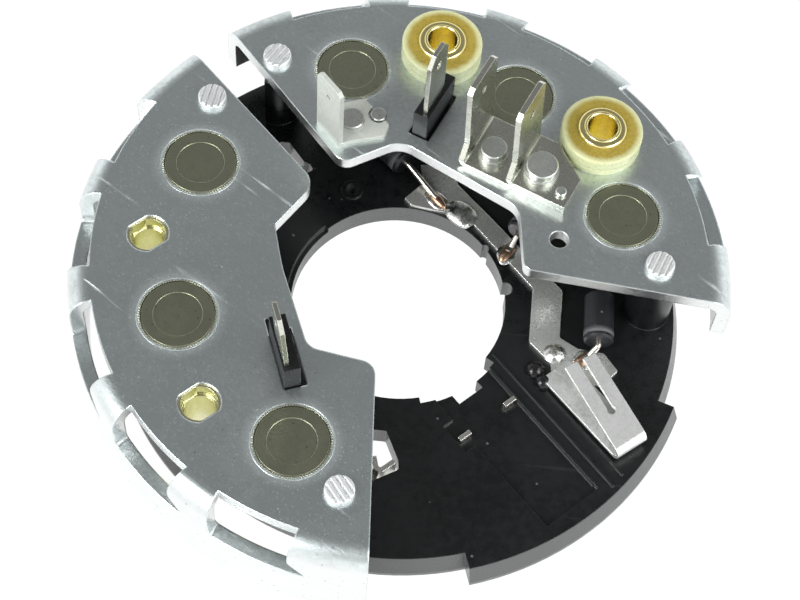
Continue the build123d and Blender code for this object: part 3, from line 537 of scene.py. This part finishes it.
@dataclass(frozen=True)
class TurnedFinish:
    """A plated round part with tool rings about its own axis."""

    name: str
    tint: Colour
    centre: Triple
    roughness: float = 0.35
    rings: float = 0.35
    mottling: float = 0.3
    pits: float = 0.2
    pit_scale: float = 1500.0
    pit_dark: float = 0.35
    pit_share: float = 0.55
    edge_light: float = 1.8
    edge_radius: float = 0.1 * MM
    clouds: float = 260.0
    fineness: float = 5200.0
    unevenness: float = 0.25
    relief: float = 0.05 * MM

    def build(self) -> Material:
        """Makes the material."""
        material, graph, shader = open_material(self.name)
        point = graph.object_coordinates()
        edges = EFFECTS.use(graph, EFFECTS.edges, point, Radius=self.edge_radius, Amount=5.0)
        grain = EFFECTS.use(graph, EFFECTS.grain, point, Clouds=self.clouds)
        turned = EFFECTS.use(graph, EFFECTS.turning, point, Centre=self.centre,
                             Fineness=self.fineness)
        pits = EFFECTS.mask(graph, EFFECTS.specks, point, Scale=self.pit_scale, Share=self.pits)
        tone = grain.outputs["Tone"]
        colour = graph.shaded(tone, self.tint, 1.0 - self.mottling, 1.0 + self.mottling * 0.7)
        colour = graph.mark(colour, pits, self.pit_share, scaled(self.tint, self.pit_dark))
        # Lighter edges: partly worn plating, partly a painted highlight.
        colour = graph.mix(edges.outputs["WearAndHighlight"], colour, scaled(self.tint, self.edge_light))
        rough = graph.dulled(tone, self.roughness, 1.25, 0.8)
        height = graph.math("ADD", graph.product(turned.outputs["Height"], self.rings),
                            graph.product(tone, self.unevenness))
        normal = graph.bump(height, 0.35, self.relief, edges.outputs["Normal"])
        graph.fill(shader, {"Base Color": colour, "Metallic": 1.0, "Roughness": rough,
                            "Normal": normal})
        return material


@dataclass(frozen=True)
class MouldedFinish:
    """Filled moulding resin: flow marks, dust, edges made paler partly by rubbing and partly as a
    painted highlight, and, where set, low walls lightened as a painted reflection of the floor.

    Shares weaken the dust, the scratches and the worn, highlighted edges.
    """

    name: str
    tint: Colour
    roughness: float
    dust: float = 0.05
    texture: float = 0.3
    edge_light: float = 3.0
    edge_radius: float = 0.25 * MM
    gloss: float = 0.5
    low_wall_painted_reflection_tint: Colour | None = None
    rim_gloss: float = 0.5
    rim_fade: float = 0.3 * MM
    dust_tint: Colour = (0.25, 0.25, 0.25)
    line_tint: Colour = (0.2, 0.2, 0.2)
    shares: Triple = (0.35, 0.25, 0.7)
    relief: float = 0.05 * MM

    def build(self) -> Material:
        """Makes the material."""
        material, graph, shader = open_material(self.name)
        point = graph.object_coordinates()
        edges = EFFECTS.use(graph, EFFECTS.edges, point, Radius=self.edge_radius, Amount=4.0)
        grain = EFFECTS.use(graph, EFFECTS.grain, point, Fineness=900.0, Clouds=45.0)
        dust = EFFECTS.mask(graph, EFFECTS.specks, point, Scale=900.0, Share=self.dust)
        lines = EFFECTS.mask(graph, EFFECTS.scratches, point, Density=0.1)
        tone = grain.outputs["Tone"]
        colour = graph.shaded(tone, self.tint, 0.75, 1.4)
        # The edge mask lightens the edges: partly rubbed resin, partly a painted highlight.
        seconds = (self.dust_tint, self.line_tint, scaled(self.tint, self.edge_light))
        for mask, weight, second in zip((dust, lines, edges.outputs["WearAndHighlight"]), self.shares, seconds):
            colour = graph.mark(colour, mask, weight, second)
        gloss: Value = self.gloss
        # Upright walls at and below the ring's floor height get a lighter tint, a painted
        # reflection of the white floor, and more gloss.
        if self.low_wall_painted_reflection_tint:
            low = graph.span(graph.upward(point), RING_FLOOR - self.rim_fade,
                             RING_FLOOR + self.rim_fade, 1.0, 0.0)
            rim = graph.product(low, graph.span(facing_up(graph), 0.2, 0.9, 1.0, 0.0))
            colour = graph.mix(rim, colour, self.low_wall_painted_reflection_tint)
            gloss = graph.math("MULTIPLY_ADD", rim, self.rim_gloss, self.gloss)
        rough = graph.dulled(tone, self.roughness, 0.8, 1.2)
        height = graph.math("ADD", graph.noise(point, 2600.0, 3.0), graph.product(tone, 0.6))
        normal = graph.bump(height, self.texture, self.relief, edges.outputs["Normal"])
        graph.fill(shader, {"Base Color": colour, "Metallic": 0.0, "Roughness": rough,
                            "Specular IOR Level": gloss, "Normal": normal})
        return material


@dataclass(frozen=True)
class LaminateFinish:
    """Resin-bonded washer: amber on its faces, cream on its cut rim and near it."""

    name: str
    face: Colour
    rim: Colour
    centre: Triple
    pale_span: Pair = (6.0 * MM, 7.2 * MM)
    raggedness: float = 0.6 * MM
    roughness: Pair = (0.24, 0.4)
    bleed_share: float = 0.25
    bleed: Colour = (1.0, 0.65, 0.3)
    bleed_depth: float = 1.2 * MM
    relief: float = 0.06 * MM

    def build(self) -> Material:
        """Makes the material."""
        material, graph, shader = open_material(self.name)
        point = graph.object_coordinates()
        edges = EFFECTS.use(graph, EFFECTS.edges, point, Radius=0.0003, Amount=4.0)
        turned = EFFECTS.use(graph, EFFECTS.turning, point, Centre=self.centre, Fineness=1400.0)
        grain = EFFECTS.use(graph, EFFECTS.grain, point, Fineness=1200.0, Clouds=150.0)
        tone = grain.outputs["Tone"]
        top = graph.span(graph.upward(graph.normal()), 0.35, 0.95)
        amber = graph.shaded(tone, self.face, 0.85, 1.12)
        ragged = graph.math("MULTIPLY_ADD", graph.noise(point, 500.0), self.raggedness,
                            turned.outputs["Distance"])
        outer = graph.span(ragged, *self.pale_span)
        amber = graph.mark(amber, outer, 0.8, self.rim)
        cream = graph.shaded(tone, self.rim, 0.92, 1.05)
        rough = graph.span(tone, 0.0, 1.0, *self.roughness)
        normal = graph.bump(turned.outputs["Height"], 0.3, self.relief, edges.outputs["Normal"])
        graph.fill(shader, {
            "Base Color": graph.mix(top, cream, amber), "Metallic": 0.0, "Roughness": rough,
            "Normal": normal, "Subsurface Weight": self.bleed_share,
            "Subsurface Radius": self.bleed, "Subsurface Scale": self.bleed_depth})
        return material


@dataclass(frozen=True)
class SolderFinish:
    """Frozen solder or compound with a wrinkled skin."""

    name: str
    tint: Colour
    metallic: float
    roughness: float
    relief: float = 0.2 * MM

    def build(self) -> Material:
        """Makes the material."""
        material, graph, shader = open_material(self.name)
        point = graph.object_coordinates()
        skin = graph.noise(point, 900.0, 4.0, 0.6)
        tone = graph.span(skin, 0.35, 0.65)
        colour = graph.shaded(tone, self.tint, 0.7, 1.2)
        rough = graph.span(skin, 0.3, 0.7, self.roughness * 0.7, self.roughness * 1.4)
        graph.fill(shader, {"Base Color": colour, "Metallic": self.metallic, "Roughness": rough,
                            "Normal": graph.bump(skin, 0.6, self.relief)})
        return material


TINNED = SheetFinish("tinned_sheet", (0.66, 0.67, 0.6), 0.24, scratch=0.4, edge_light=1.25,
                     clouds=160.0)
BRIGHT_TIN = SheetFinish("bright_tin", (0.88, 0.89, 0.86), 0.3, Lay.SLANTED, contrast=0.22,
                         grain=0.06, scratch=0.5, pits=0.06, clouds=220.0, metallic=0.85)
RIVET_METAL = SheetFinish("rivet_metal", (0.86, 0.88, 0.88), 0.55, Lay.SLANTED, contrast=0.16,
                          grain=0.1, edge_radius=0.3 * MM, flecks=0.2)
CONDUCTOR = SheetFinish("conductor_strip", (0.86, 0.85, 0.79), 0.28, Lay.ALONG_Y,
                        edge_radius=0.15 * MM)
COPPER = SheetFinish("copper_wire", (0.56, 0.37, 0.25), 0.3, contrast=0.35, grain=0.03, scratch=0.2,
                     edge_radius=0.1 * MM, clouds=300.0)
TINNED_WIRE = SheetFinish("tinned_wire", (0.8, 0.76, 0.69), 0.24, contrast=0.3, grain=0.03,
                          scratch=0.2, edge_radius=0.1 * MM, clouds=300.0)
KNURL = SheetFinish("knurled_rim", (0.5, 0.52, 0.43), 0.3, contrast=0.3, scratch=0.2,
                    edge_radius=0.06 * MM, edge_light=1.9, clouds=300.0)
FROSTED_TIN = SheetFinish("frosted_tin", (0.64, 0.67, 0.62), 0.62, Lay.SLANTED, contrast=0.12,
                          grain=0.2, pits=0.12, edge_light=1.15, flecks=0.1, metallic=0.6)
CONTACT_TIN = SheetFinish("contact_tin", (0.86, 0.88, 0.86), 0.38, Lay.SLANTED, contrast=0.3,
                          grain=0.1, scratch=0.6, pits=0.08, edge_light=1.15, clouds=75.0,
                          flecks=0.02, metallic=0.78)
# The ring resin's low walls get a lighter tint: a painted reflection of the white floor.
RING_RESIN = MouldedFinish("ring_resin", (0.0045, 0.005, 0.0055), 0.3, dust=0.015, texture=0.2,
                           low_wall_painted_reflection_tint=(0.065, 0.07, 0.068))
SEAL_RESIN = MouldedFinish("seal_resin", (0.02, 0.02, 0.022), 0.55, texture=0.4)
DIODE_RESIN = MouldedFinish("diode_resin", (0.008, 0.009, 0.011), 0.38)
BUSH_RESIN = MouldedFinish("bush_resin", (0.62, 0.55, 0.38), 0.45, texture=0.25, edge_light=1.2)
BAND_PAINT = MouldedFinish("band_paint", (0.065, 0.07, 0.072), 0.45, edge_light=1.3)
SOLDER = SolderFinish("solder", (0.84, 0.84, 0.81), 1.0, 0.24)
COMPOUND = SolderFinish("sealing_compound", (0.008, 0.008, 0.009), 0.0, 0.1)


def surface(name: str, points: Grid, wrap_rows: bool = False, wrap_cols: bool = True,
            poles: tuple[bool, bool] = (False, False)) -> Piece:
    """Makes a mesh from a grid of points.

    Each cell of the grid is a quad. A wrapped direction joins its last line to
    its first. A pole closes the grid's first or last row with a fan to the
    row's mean point.

    Args:
        name: The piece's name.
        points: Array of rows by columns by three.
        wrap_rows: Whether the last row joins the first.
        wrap_cols: Whether the last column joins the first.
        poles: Whether the first and the last row are closed.

    Returns:
        The new object, with its place in its mesh.
    """
    rows, cols = points.shape[:2]
    index = np.arange(rows * cols).reshape(rows, cols)
    below = np.roll(index, -1, axis=0)
    beside = np.roll(index, -1, axis=1)
    corner = np.roll(below, -1, axis=1)
    quads = np.stack([index, beside, corner, below], axis=-1)
    row_cells = rows if wrap_rows else rows - 1
    col_cells = cols if wrap_cols else cols - 1
    quads = quads[:row_cells, :col_cells].reshape(-1, 4)
    vertices = points.reshape(-1, 3)
    faces = quads.tolist()
    for used, row, forward in ((poles[0], 0, False), (poles[1], rows - 1, True)):
        if used:
            ring = index[row]
            middle = len(vertices)
            vertices = np.vstack([vertices, vertices[ring].mean(axis=0)])
            after = np.roll(ring, -1)
            fan = np.stack([ring, after, np.full(cols, middle)], axis=-1)
            faces += (fan if forward else fan[:, ::-1]).tolist()
    mesh = bpy.data.meshes.new(name)
    mesh.from_pydata(vertices.tolist(), [], faces)
    mesh.polygons.foreach_set("use_smooth", np.ones(len(mesh.polygons), dtype=bool))
    mesh.update()
    piece = bpy.data.objects.new(name, mesh)
    bpy.context.scene.collection.objects.link(piece)
    return piece


def around(centre: Triple, radius: Grid, angle: Grid, height: Grid) -> Grid:
    """Points round an upright axis.

    Args:
        centre: A point on the axis.
        radius: Distance of each point from it.
        angle: Turn of each point about it, in radians.
        height: Height of each point.

    Returns:
        The points, one more dimension than the radius has.
    """
    x = centre[0] + radius * np.cos(angle)
    y = centre[1] + radius * np.sin(angle)
    return np.stack([x, y, height], axis=-1)


def outward(piece: Piece) -> None:
    """Turns a closed mesh's faces outwards by the sign of its volume."""
    mesh = piece.data
    mesh.calc_loop_triangles()
    corners = np.empty(len(mesh.vertices) * 3)
    mesh.vertices.foreach_get("co", corners)
    triangles = np.empty(len(mesh.loop_triangles) * 3, dtype=int)
    mesh.loop_triangles.foreach_get("vertices", triangles)
    a, b, c = corners.reshape(-1, 3)[triangles.reshape(-1, 3)].transpose(1, 0, 2)
    if np.einsum("ij,ij->i", a, np.cross(b, c)).sum() < 0:
        mesh.flip_normals()


def add_piece(piece: Piece, material: Material) -> None:
    """Gives a new piece its material and its body.

    Args:
        piece: The new object.
        material: Its finish.
    """
    outward(piece)
    piece.data.materials.append(material)
    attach(piece, "root")
    LOG.info("added %s, %d faces", piece.name, len(piece.data.polygons))


def dress(material: Material, *nodes: str) -> None:
    """Puts a material on CAD nodes, given by name."""
    for node in nodes:
        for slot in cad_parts[node].material_slots:
            slot.material = material
        LOG.info("dressed %s with %s", node, material.name)


def centre_of(node: str) -> Triple:
    """The middle of a CAD node's box."""
    low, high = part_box(node)
    return tuple((a + b) / 2 for a, b in zip(low, high))


def heatsink_sheet() -> SheetFinish:
    """The heatsinks' aluminium, scuffed round the six cups."""
    cups = tuple(centre_of(f"{side}_diode_{number}") for side in SIDES for number in CUPS)
    # The last argument pales the upright faces, the skirts among them: a painted reflection of the
    # white floor.
    return SheetFinish("heatsink_sheet", (0.635, 0.695, 0.7), 0.33, Lay.SLANTED, contrast=0.26,
                       grain=0.22, scratch=0.45, pits=0.14, edge_radius=0.4 * MM, edge_light=1.3,
                       clouds=90.0, flecks=0.26, haloes=cups, upright_painted_reflection=0.8)


@dataclass
class Heatsinks:
    """The two pressed plates and their four grooved rivets."""

    sheet: Material
    plates: tuple[str, ...] = ("negative_heatsink", "positive_heatsink")
    rivets: tuple[str, ...] = ("rivet_negative_back", "rivet_negative_front", "rivet_positive_back",
                               "rivet_positive_front")

    def build(self) -> None:
        """Dresses the plates and the rivets."""
        dress(self.sheet, *self.plates)
        dress(RIVET_METAL.build(), *self.rivets)


@dataclass
class PressFitDiodes:
    """The six cups, each with its knurled rim and the ridge that it pushed up in the plate."""

    sheet: Material
    tint: Colour = (0.34, 0.355, 0.26)
    teeth: int = 88
    inner: float = 6.3 * MM
    root: float = 6.36 * MM
    tip: float = 6.72 * MM
    taper: float = 0.05 * MM
    low: float = PLATE_TOP - 0.5 * MM
    high: float = PLATE_TOP + 0.1 * MM
    ridge_span: Pair = (6.65 * MM, 7.0 * MM)
    ridge_height: float = 0.035 * MM
    ridge_sink: float = 0.05 * MM
    ridge_foot: float = 0.4 * MM

    def knurl(self, name: str, centre: Triple) -> Piece:
        """The toothed ring round a cup.

        The ring is a four-cornered section carried round a circle. Its outer
        radius is a triangle wave between root and tip, one wave a tooth.

        Args:
            name: The piece's name.
            centre: A point on the cup's axis.

        Returns:
            The ring.
        """
        angle = np.linspace(0.0, 2.0 * np.pi, self.teeth * 4, endpoint=False)
        wave = np.abs((angle * self.teeth / (2.0 * np.pi)) % 1.0 * 2.0 - 1.0)
        outer = self.root + (self.tip - self.root) * wave
        inner = np.full_like(angle, self.inner)
        radius = np.stack([inner, outer, outer - self.taper, inner])
        height = np.array([self.low, self.low, self.high, self.high])[:, None] * np.ones_like(angle)
        return surface(name, around(centre, radius, angle, height), wrap_rows=True)

    def ridge(self, name: str, centre: Triple, seed: int) -> Piece:
        """The low ridge of plate metal round a cup, uneven in height and width.

        Rows run over an arched section, whose ends lie inside the plate, and
        columns round the cup.

        Args:
            name: The piece's name.
            centre: A point on the cup's axis.
            seed: Choice of the unevenness.

        Returns:
            The ridge.
        """
        random = np.random.default_rng(seed)
        angle = np.linspace(0.0, 2.0 * np.pi, 180, endpoint=False)[None, :]
        phases = random.uniform(0.0, 2.0 * np.pi, 4)
        uneven = sum(np.sin(k ** 1.5 // 1 * angle + phase) / k for k, phase in enumerate(phases, 2))
        across = np.linspace(0.0, 1.0, 12)[:, None]
        start, end = self.ridge_span
        radius = start + (end - start) * across * (1.0 + 0.18 * uneven)
        arch = np.sin(np.pi * across) ** 0.8 * (1.0 + 0.35 * uneven)
        height = PLATE_TOP - self.ridge_sink + (self.ridge_height + self.ridge_sink) * arch
        radius = np.vstack([radius, radius[-1:], radius[:1]])
        floor = np.full_like(radius[:1], PLATE_TOP - self.ridge_foot)
        height = np.vstack([height, floor, floor])
        return surface(name, around(centre, radius, angle, height), wrap_rows=True)

    def build(self) -> None:
        """Dresses the cups, seals and leads, and adds the knurled rims and ridges."""
        seal, wire = SEAL_RESIN.build(), COPPER.build()
        rim = KNURL.build()
        for side in SIDES:
            for number in CUPS:
                centre = centre_of(f"{side}_diode_{number}")
                cup = TurnedFinish(f"{side}_cup_{number}_plating", self.tint, centre).build()
                dress(cup, f"{side}_diode_{number}")
                dress(seal, f"{side}_diode_seal_{number}")
                dress(wire, f"{side}_diode_lead_{number}")
                ring = self.knurl(f"{side}_diode_knurl_{number}", centre)
                add_piece(ring, rim)
                flat = np.zeros(len(ring.data.polygons), dtype=bool)
                ring.data.polygons.foreach_set("use_smooth", flat)
                seed = number + 3 * (side == "positive")
                ridge = self.ridge(f"{side}_diode_ridge_{number}", centre, seed)
                add_piece(ridge, self.sheet)


@dataclass
class MouldedRing:
    """The black ring and the conductors that lie in its grooves."""

    conductors: tuple[str, ...] = ("phase_conductor_front", "phase_conductor_back",
                                   "phase_conductor_bore")

    def build(self) -> None:
        """Dresses the ring and its conductors."""
        dress(RING_RESIN.build(), "base_ring")
        dress(CONDUCTOR.build(), *self.conductors)


@dataclass
class MountingHardware:
    """Washers, bushes and eyelets of one plate, and spacers of the other."""

    washer_face: Colour = (0.345, 0.265, 0.045)
    washer_rim: Colour = (0.62, 0.66, 0.4)
    brass: Colour = (0.98, 0.84, 0.4)
    bead_radius: float = 2.98 * MM
    bead_size: float = 0.3 * MM
    bead_height: float = 24.42 * MM
    passivate: Colour = (0.8, 0.79, 0.5)

    def rolled_mouth(self, name: str, centre: Triple) -> Piece:
        """The rolled bead round an eyelet's mouth, a ring of round section.

        Args:
            name: The piece's name.
            centre: A point on the eyelet's axis.

        Returns:
            The bead.
        """
        section = np.linspace(0.0, 2.0 * np.pi, 16, endpoint=False)[:, None]
        angle = np.linspace(0.0, 2.0 * np.pi, 96, endpoint=False)[None, :]
        radius = self.bead_radius + self.bead_size * np.cos(section) + 0.0 * angle
        height = self.bead_height + self.bead_size * np.sin(section) + 0.0 * angle
        return surface(name, around(centre, radius, angle, height), wrap_rows=True)

    def build(self) -> None:
        """Dresses every piece round its own axis, and rolls the eyelets' mouths."""
        bush = BUSH_RESIN.build()
        for number in (1, 2):
            centre = centre_of(f"eyelet_{number}")
            laminate = LaminateFinish(f"laminate_{number}", self.washer_face, self.washer_rim,
                                      centre)
            dress(laminate.build(), f"insulating_washer_{number}", f"cover_washer_{number}")
            dress(bush, f"insulating_bush_{number}")
            eyelet = TurnedFinish(f"eyelet_brass_{number}", self.brass, centre, roughness=0.22,
                                  rings=0.3, mottling=0.15, pits=0.05)
            plating = eyelet.build()
            dress(plating, f"eyelet_{number}")
            add_piece(self.rolled_mouth(f"eyelet_roll_{number}", centre), plating)
            node = f"spacer_{number}"
            spacer = TurnedFinish(f"spacer_passivate_{number}", self.passivate, centre_of(node),
                                  roughness=0.2, rings=0.25, mottling=0.08, pits=0.03)
            dress(spacer.build(), node)


@dataclass
class Terminals:
    """The upright tabs, the brackets and their rivets."""

    brackets: tuple[str, ...] = ("twin_terminal_lower", "twin_terminal_upper",
                                 "negative_post_tab", "positive_post_tab")
    frosted: tuple[str, ...] = ("single_terminal",)
    rivets: tuple[str, ...] = ("twin_left_rivet", "twin_right_rivet", "twin_pin", "single_rivet",
                               "single_pin")
    nickel: Colour = (0.62, 0.65, 0.62)
    head_round: float = 0.45 * MM

    def headed(self, node: str) -> None:
        """Rounds a rivet's head and gives it a turned finish."""
        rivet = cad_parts[node]
        rivet.modifiers.new("joined", "WELD").merge_threshold = 0.001 * MM
        rounding = rivet.modifiers.new("rounded_head", "BEVEL")
        rounding.width = self.head_round
        rounding.segments = 4
        rounding.limit_method = "ANGLE"
        finish = TurnedFinish(f"{node}_plating", self.nickel, centre_of(node), roughness=0.36,
                              rings=1.2, pits=0.1)
        dress(finish.build(), node)

    def build(self) -> None:
        """Dresses the brackets, tabs and rivets."""
        dress(TINNED.build(), *self.brackets)
        dress(FROSTED_TIN.build(), *self.frosted)
        for rivet in self.rivets:
            self.headed(rivet)


@dataclass(frozen=True)
class Joint:
    """Where an exciter diode's wire meets the strip, with the turns of body and wire end."""

    name: str
    place: Pair
    turn: float
    solder_turn: float


@dataclass
class ExciterCircuit:
    """The three axial diodes, the strip that joins them and the spring contact."""

    joints: tuple[Joint, ...] = (Joint("back", (5.0 * MM, 20.9 * MM), 140.5, 135.9),
                                 Joint("middle", (18.5 * MM, 11.2 * MM), 59.6, 59.7),
                                 Joint("front", (33.3 * MM, -8.8 * MM), 91.4, 41.9))
    strip_top: float = 5.3 * MM
    blob_size: Triple = (2.5 * MM, 1.7 * MM, 0.45 * MM)
    spade_size: Triple = (2.4 * MM, 1.1 * MM, 0.95 * MM)
    blob_ripple: float = 0.07
    pool_place: Pair = (9.6 * MM, 18.4 * MM)
    pool_turn: float = -40.0
    pool_size: Triple = (3.5 * MM, 2.3 * MM, 1.0 * MM)
    band_radius: float = 2.68 * MM
    band_width: float = 1.2 * MM
    band_start: float = -3.7 * MM
    band_depth: float = 0.15 * MM

    def blob(self, name: str, place: Pair, turn: float, seed: int, size: Triple) -> Piece:
        """A drop of solder, or the flattened end of a wire.

        The drop is half an ellipsoid whose radius varies with three waves round
        it. Rows run from its top to its foot, which is closed flat.

        Args:
            name: The piece's name.
            place: Its middle on the strip.
            turn: Direction of the wire in degrees.
            seed: Choice of the waves.
            size: Half length, half width and height.

        Returns:
            The drop.
        """
        random = np.random.default_rng(seed)
        phases = random.uniform(0.0, 2.0 * np.pi, 3)
        down = np.linspace(0.08, 1.0, 14)[:, None] * np.pi / 2
        angle = np.linspace(0.0, 2.0 * np.pi, 48, endpoint=False)[None, :]
        waves = sum(self.blob_ripple / k * np.sin((k + 1) * angle + phase)
                    for k, phase in enumerate(phases, 1))
        ripple = 1.0 + waves * np.sin(down)
        u = size[0] * np.sin(down) * np.cos(angle) * ripple
        v = size[1] * np.sin(down) * np.sin(angle) * ripple
        z = self.strip_top + size[2] * np.cos(down) * np.ones_like(angle)
        c, s = math.cos(math.radians(turn)), math.sin(math.radians(turn))
        grid = np.stack([place[0] + u * c - v * s, place[1] + u * s + v * c, z], axis=-1)
        return surface(name, grid, poles=(True, True))

    def band(self, name: str, node: str, turn: float) -> Piece:
        """The painted band round one end of a diode's body.

        The band is a thin tube, a four-cornered section carried round the
        body's axis.

        Args:
            name: The piece's name.
            node: The diode's node.
            turn: Direction of its axis in degrees, from the strip outwards.

        Returns:
            The band.
        """
        middle = np.array(centre_of(node))
        along = np.array([math.cos(math.radians(turn)), math.sin(math.radians(turn)), 0.0])
        across = np.array([-along[1], along[0], 0.0])
        angle = np.linspace(0.0, 2.0 * np.pi, 48, endpoint=False)[None, :, None]
        start, end = self.band_start, self.band_start + self.band_width
        stations = np.array([start, end, end, start])[:, None, None]
        inner = self.band_radius - self.band_depth
        radii = np.array([self.band_radius, self.band_radius, inner, inner])[:, None, None]
        spokes = np.cos(angle) * across + np.sin(angle) * np.array([0.0, 0.0, 1.0])
        grid = middle + stations * along + radii * spokes
        return surface(name, grid, wrap_rows=True)

    def build(self) -> None:
        """Dresses the circuit and adds its solder drops and bands."""
        body, wire, solder = DIODE_RESIN.build(), TINNED_WIRE.build(), SOLDER.build()
        copper, paint = COPPER.build(), BAND_PAINT.build()
        for seed, joint in enumerate(self.joints, 3):
            name, place, turn = joint.name, joint.place, joint.solder_turn
            dress(body, f"exciter_diode_{name}")
            dress(wire, f"exciter_lead_{name}")
            drop = self.blob(f"joint_solder_{name}", place, turn, seed, self.blob_size)
            add_piece(drop, solder)
            spade = self.blob(f"exciter_spade_{name}", place, turn, seed + 9, self.spade_size)
            add_piece(spade, copper)
            band = self.band(f"exciter_band_{name}", f"exciter_diode_{name}", joint.turn)
            add_piece(band, paint)
        pool = self.blob("strip_solder_1", self.pool_place, self.pool_turn, 21, self.pool_size)
        add_piece(pool, solder)
        dress(BRIGHT_TIN.build(), "exciter_bus_strip")
        dress(CONTACT_TIN.build(), "spring_contact")
        dress(solder, "contact_solder")
        dress(COMPOUND.build(), "sealing_beads")


@dataclass
class Studio:
    """A pale floor, soft lamps and the camera at the photograph's angle."""

    eye: Triple = (2.751 * MM, -167.964 * MM, 307.878 * MM)
    pitch: float = 61.05
    roll: float = 5.92
    focal: float = 1957.45
    width: int = 800
    height: int = 600
    principal: Pair = (413.7, 301.4)
    sensor: float = 36.0
    clip: Pair = (0.01, 20.0)
    floor_half: float = 1.5
    floor_drop: float = 0.02 * MM
    paper: Colour = (0.9, 0.9, 0.9)
    paper_glow: float = 1.08
    glow_share: float = 0.92
    sky_tint: Colour = (1.0, 1.0, 1.0)
    sky_span: Pair = (0.2, 0.84)
    sky_levels: Pair = (1.2, 0.2)
    aim: Triple = (0.0, 0.0, 0.01)
    lamps: tuple[tuple[str, Triple, float, float], ...] = (
        ("key_lamp", (-0.45, -0.35, 0.5), 0.4, 5.0), ("fill_lamp", (0.5, -0.25, 0.5), 0.5, 4.0))

    def floor(self) -> None:
        """Lays the floor: a plain white sheet that shows white and keeps a soft shadow."""
        line = np.linspace(-self.floor_half, self.floor_half, 2)
        x, y = np.meshgrid(line, line)
        grid = np.stack([x, y, np.full_like(x, -self.floor_drop)], axis=-1)
        sheet = surface("studio_floor", grid, wrap_cols=False)
        material = bpy.data.materials.new("floor_paper")
        graph = emptied(material)
        paper = graph.add("ShaderNodeBsdfDiffuse", {"Color": self.paper})
        glow = graph.add("ShaderNodeEmission", {"Strength": self.paper_glow})
        rays = graph.add("ShaderNodeLightPath").outputs
        seen = graph.math("MAXIMUM", rays["Is Camera Ray"], rays["Is Glossy Ray"])
        seen = graph.math("MAXIMUM", seen, rays["Is Transmission Ray"])
        share = graph.product(seen, self.glow_share)
        inputs = {0: share, 1: paper.outputs[0], 2: glow.outputs[0]}
        blend = graph.add("ShaderNodeMixShader", inputs)
        graph.add("ShaderNodeOutputMaterial", {"Surface": blend.outputs[0]})
        sheet.data.materials.append(material)

    def sky(self) -> None:
        """Lights the scene evenly, with white where the camera looks past the floor."""
        world = bpy.data.worlds.new("studio_sky")
        bpy.context.scene.world = world
        graph = emptied(world)
        direction = graph.add("ShaderNodeTexCoord").outputs["Generated"]
        level = graph.span(graph.upward(direction), *self.sky_span, *self.sky_levels)
        rays = graph.add("ShaderNodeLightPath").outputs
        level = graph.math("MAXIMUM", level, rays["Is Camera Ray"])
        sky = graph.add("ShaderNodeBackground", {"Color": self.sky_tint, "Strength": level})
        graph.add("ShaderNodeOutputWorld", {"Surface": sky.outputs[0]})

    def lamp(self, name: str, place: Triple, size: float, power: float) -> None:
        """Hangs a soft lamp that points at the object.

        Args:
            name: The lamp's name.
            place: Where it hangs.
            size: Edge of its square face.
            power: Its power in watts.
        """
        light = bpy.data.lights.new(name, "AREA")
        light.size = size
        light.energy = power
        holder = bpy.data.objects.new(name, light)
        holder.location = place
        holder.rotation_mode = "QUATERNION"
        holder.rotation_quaternion = (Vector(self.aim) - Vector(place)).to_track_quat("-Z", "Y")
        bpy.context.scene.collection.objects.link(holder)

    def camera(self) -> None:
        """Places the camera, with the photograph's focal length, roll and offset centre."""
        data = bpy.data.cameras.new("view")
        data.sensor_width = self.sensor
        data.sensor_fit = "HORIZONTAL"
        data.lens = self.sensor * self.focal / self.width
        data.shift_x = -(self.principal[0] - self.width / 2) / self.width
        data.shift_y = (self.principal[1] - self.height / 2) / self.width
        data.clip_start, data.clip_end = self.clip
        pitch, roll = math.radians(self.pitch), math.radians(self.roll)
        forward = Vector((0.0, math.cos(pitch), -math.sin(pitch)))
        right = Vector((1.0, 0.0, 0.0))
        up = Vector((0.0, math.sin(pitch), math.cos(pitch)))
        across = right * math.cos(roll) + up * math.sin(roll)
        above = up * math.cos(roll) - right * math.sin(roll)
        turn = Matrix((across, above, -forward)).transposed()
        holder = bpy.data.objects.new("view", data)
        holder.matrix_world = Matrix.Translation(self.eye) @ turn.to_4x4()
        bpy.context.scene.collection.objects.link(holder)
        bpy.context.scene.camera = holder

    def build(self) -> None:
        """Sets up the floor, the light and the camera."""
        bpy.context.scene.view_settings.view_transform = "Standard"
        self.floor()
        self.sky()
        for lamp in self.lamps:
            self.lamp(*lamp)
        self.camera()


def main() -> None:
    """Builds every sub-assembly in order."""
    logging.basicConfig(level=logging.INFO, format="%(name)s: %(message)s")
    sheet = heatsink_sheet().build()
    for part in (Heatsinks(sheet), PressFitDiodes(sheet), MouldedRing(), MountingHardware(),
                 Terminals(), ExciterCircuit(), Studio()):
        part.build()
        LOG.info("finished %s", type(part).__name__)


if __name__ == "__main__":
    main()
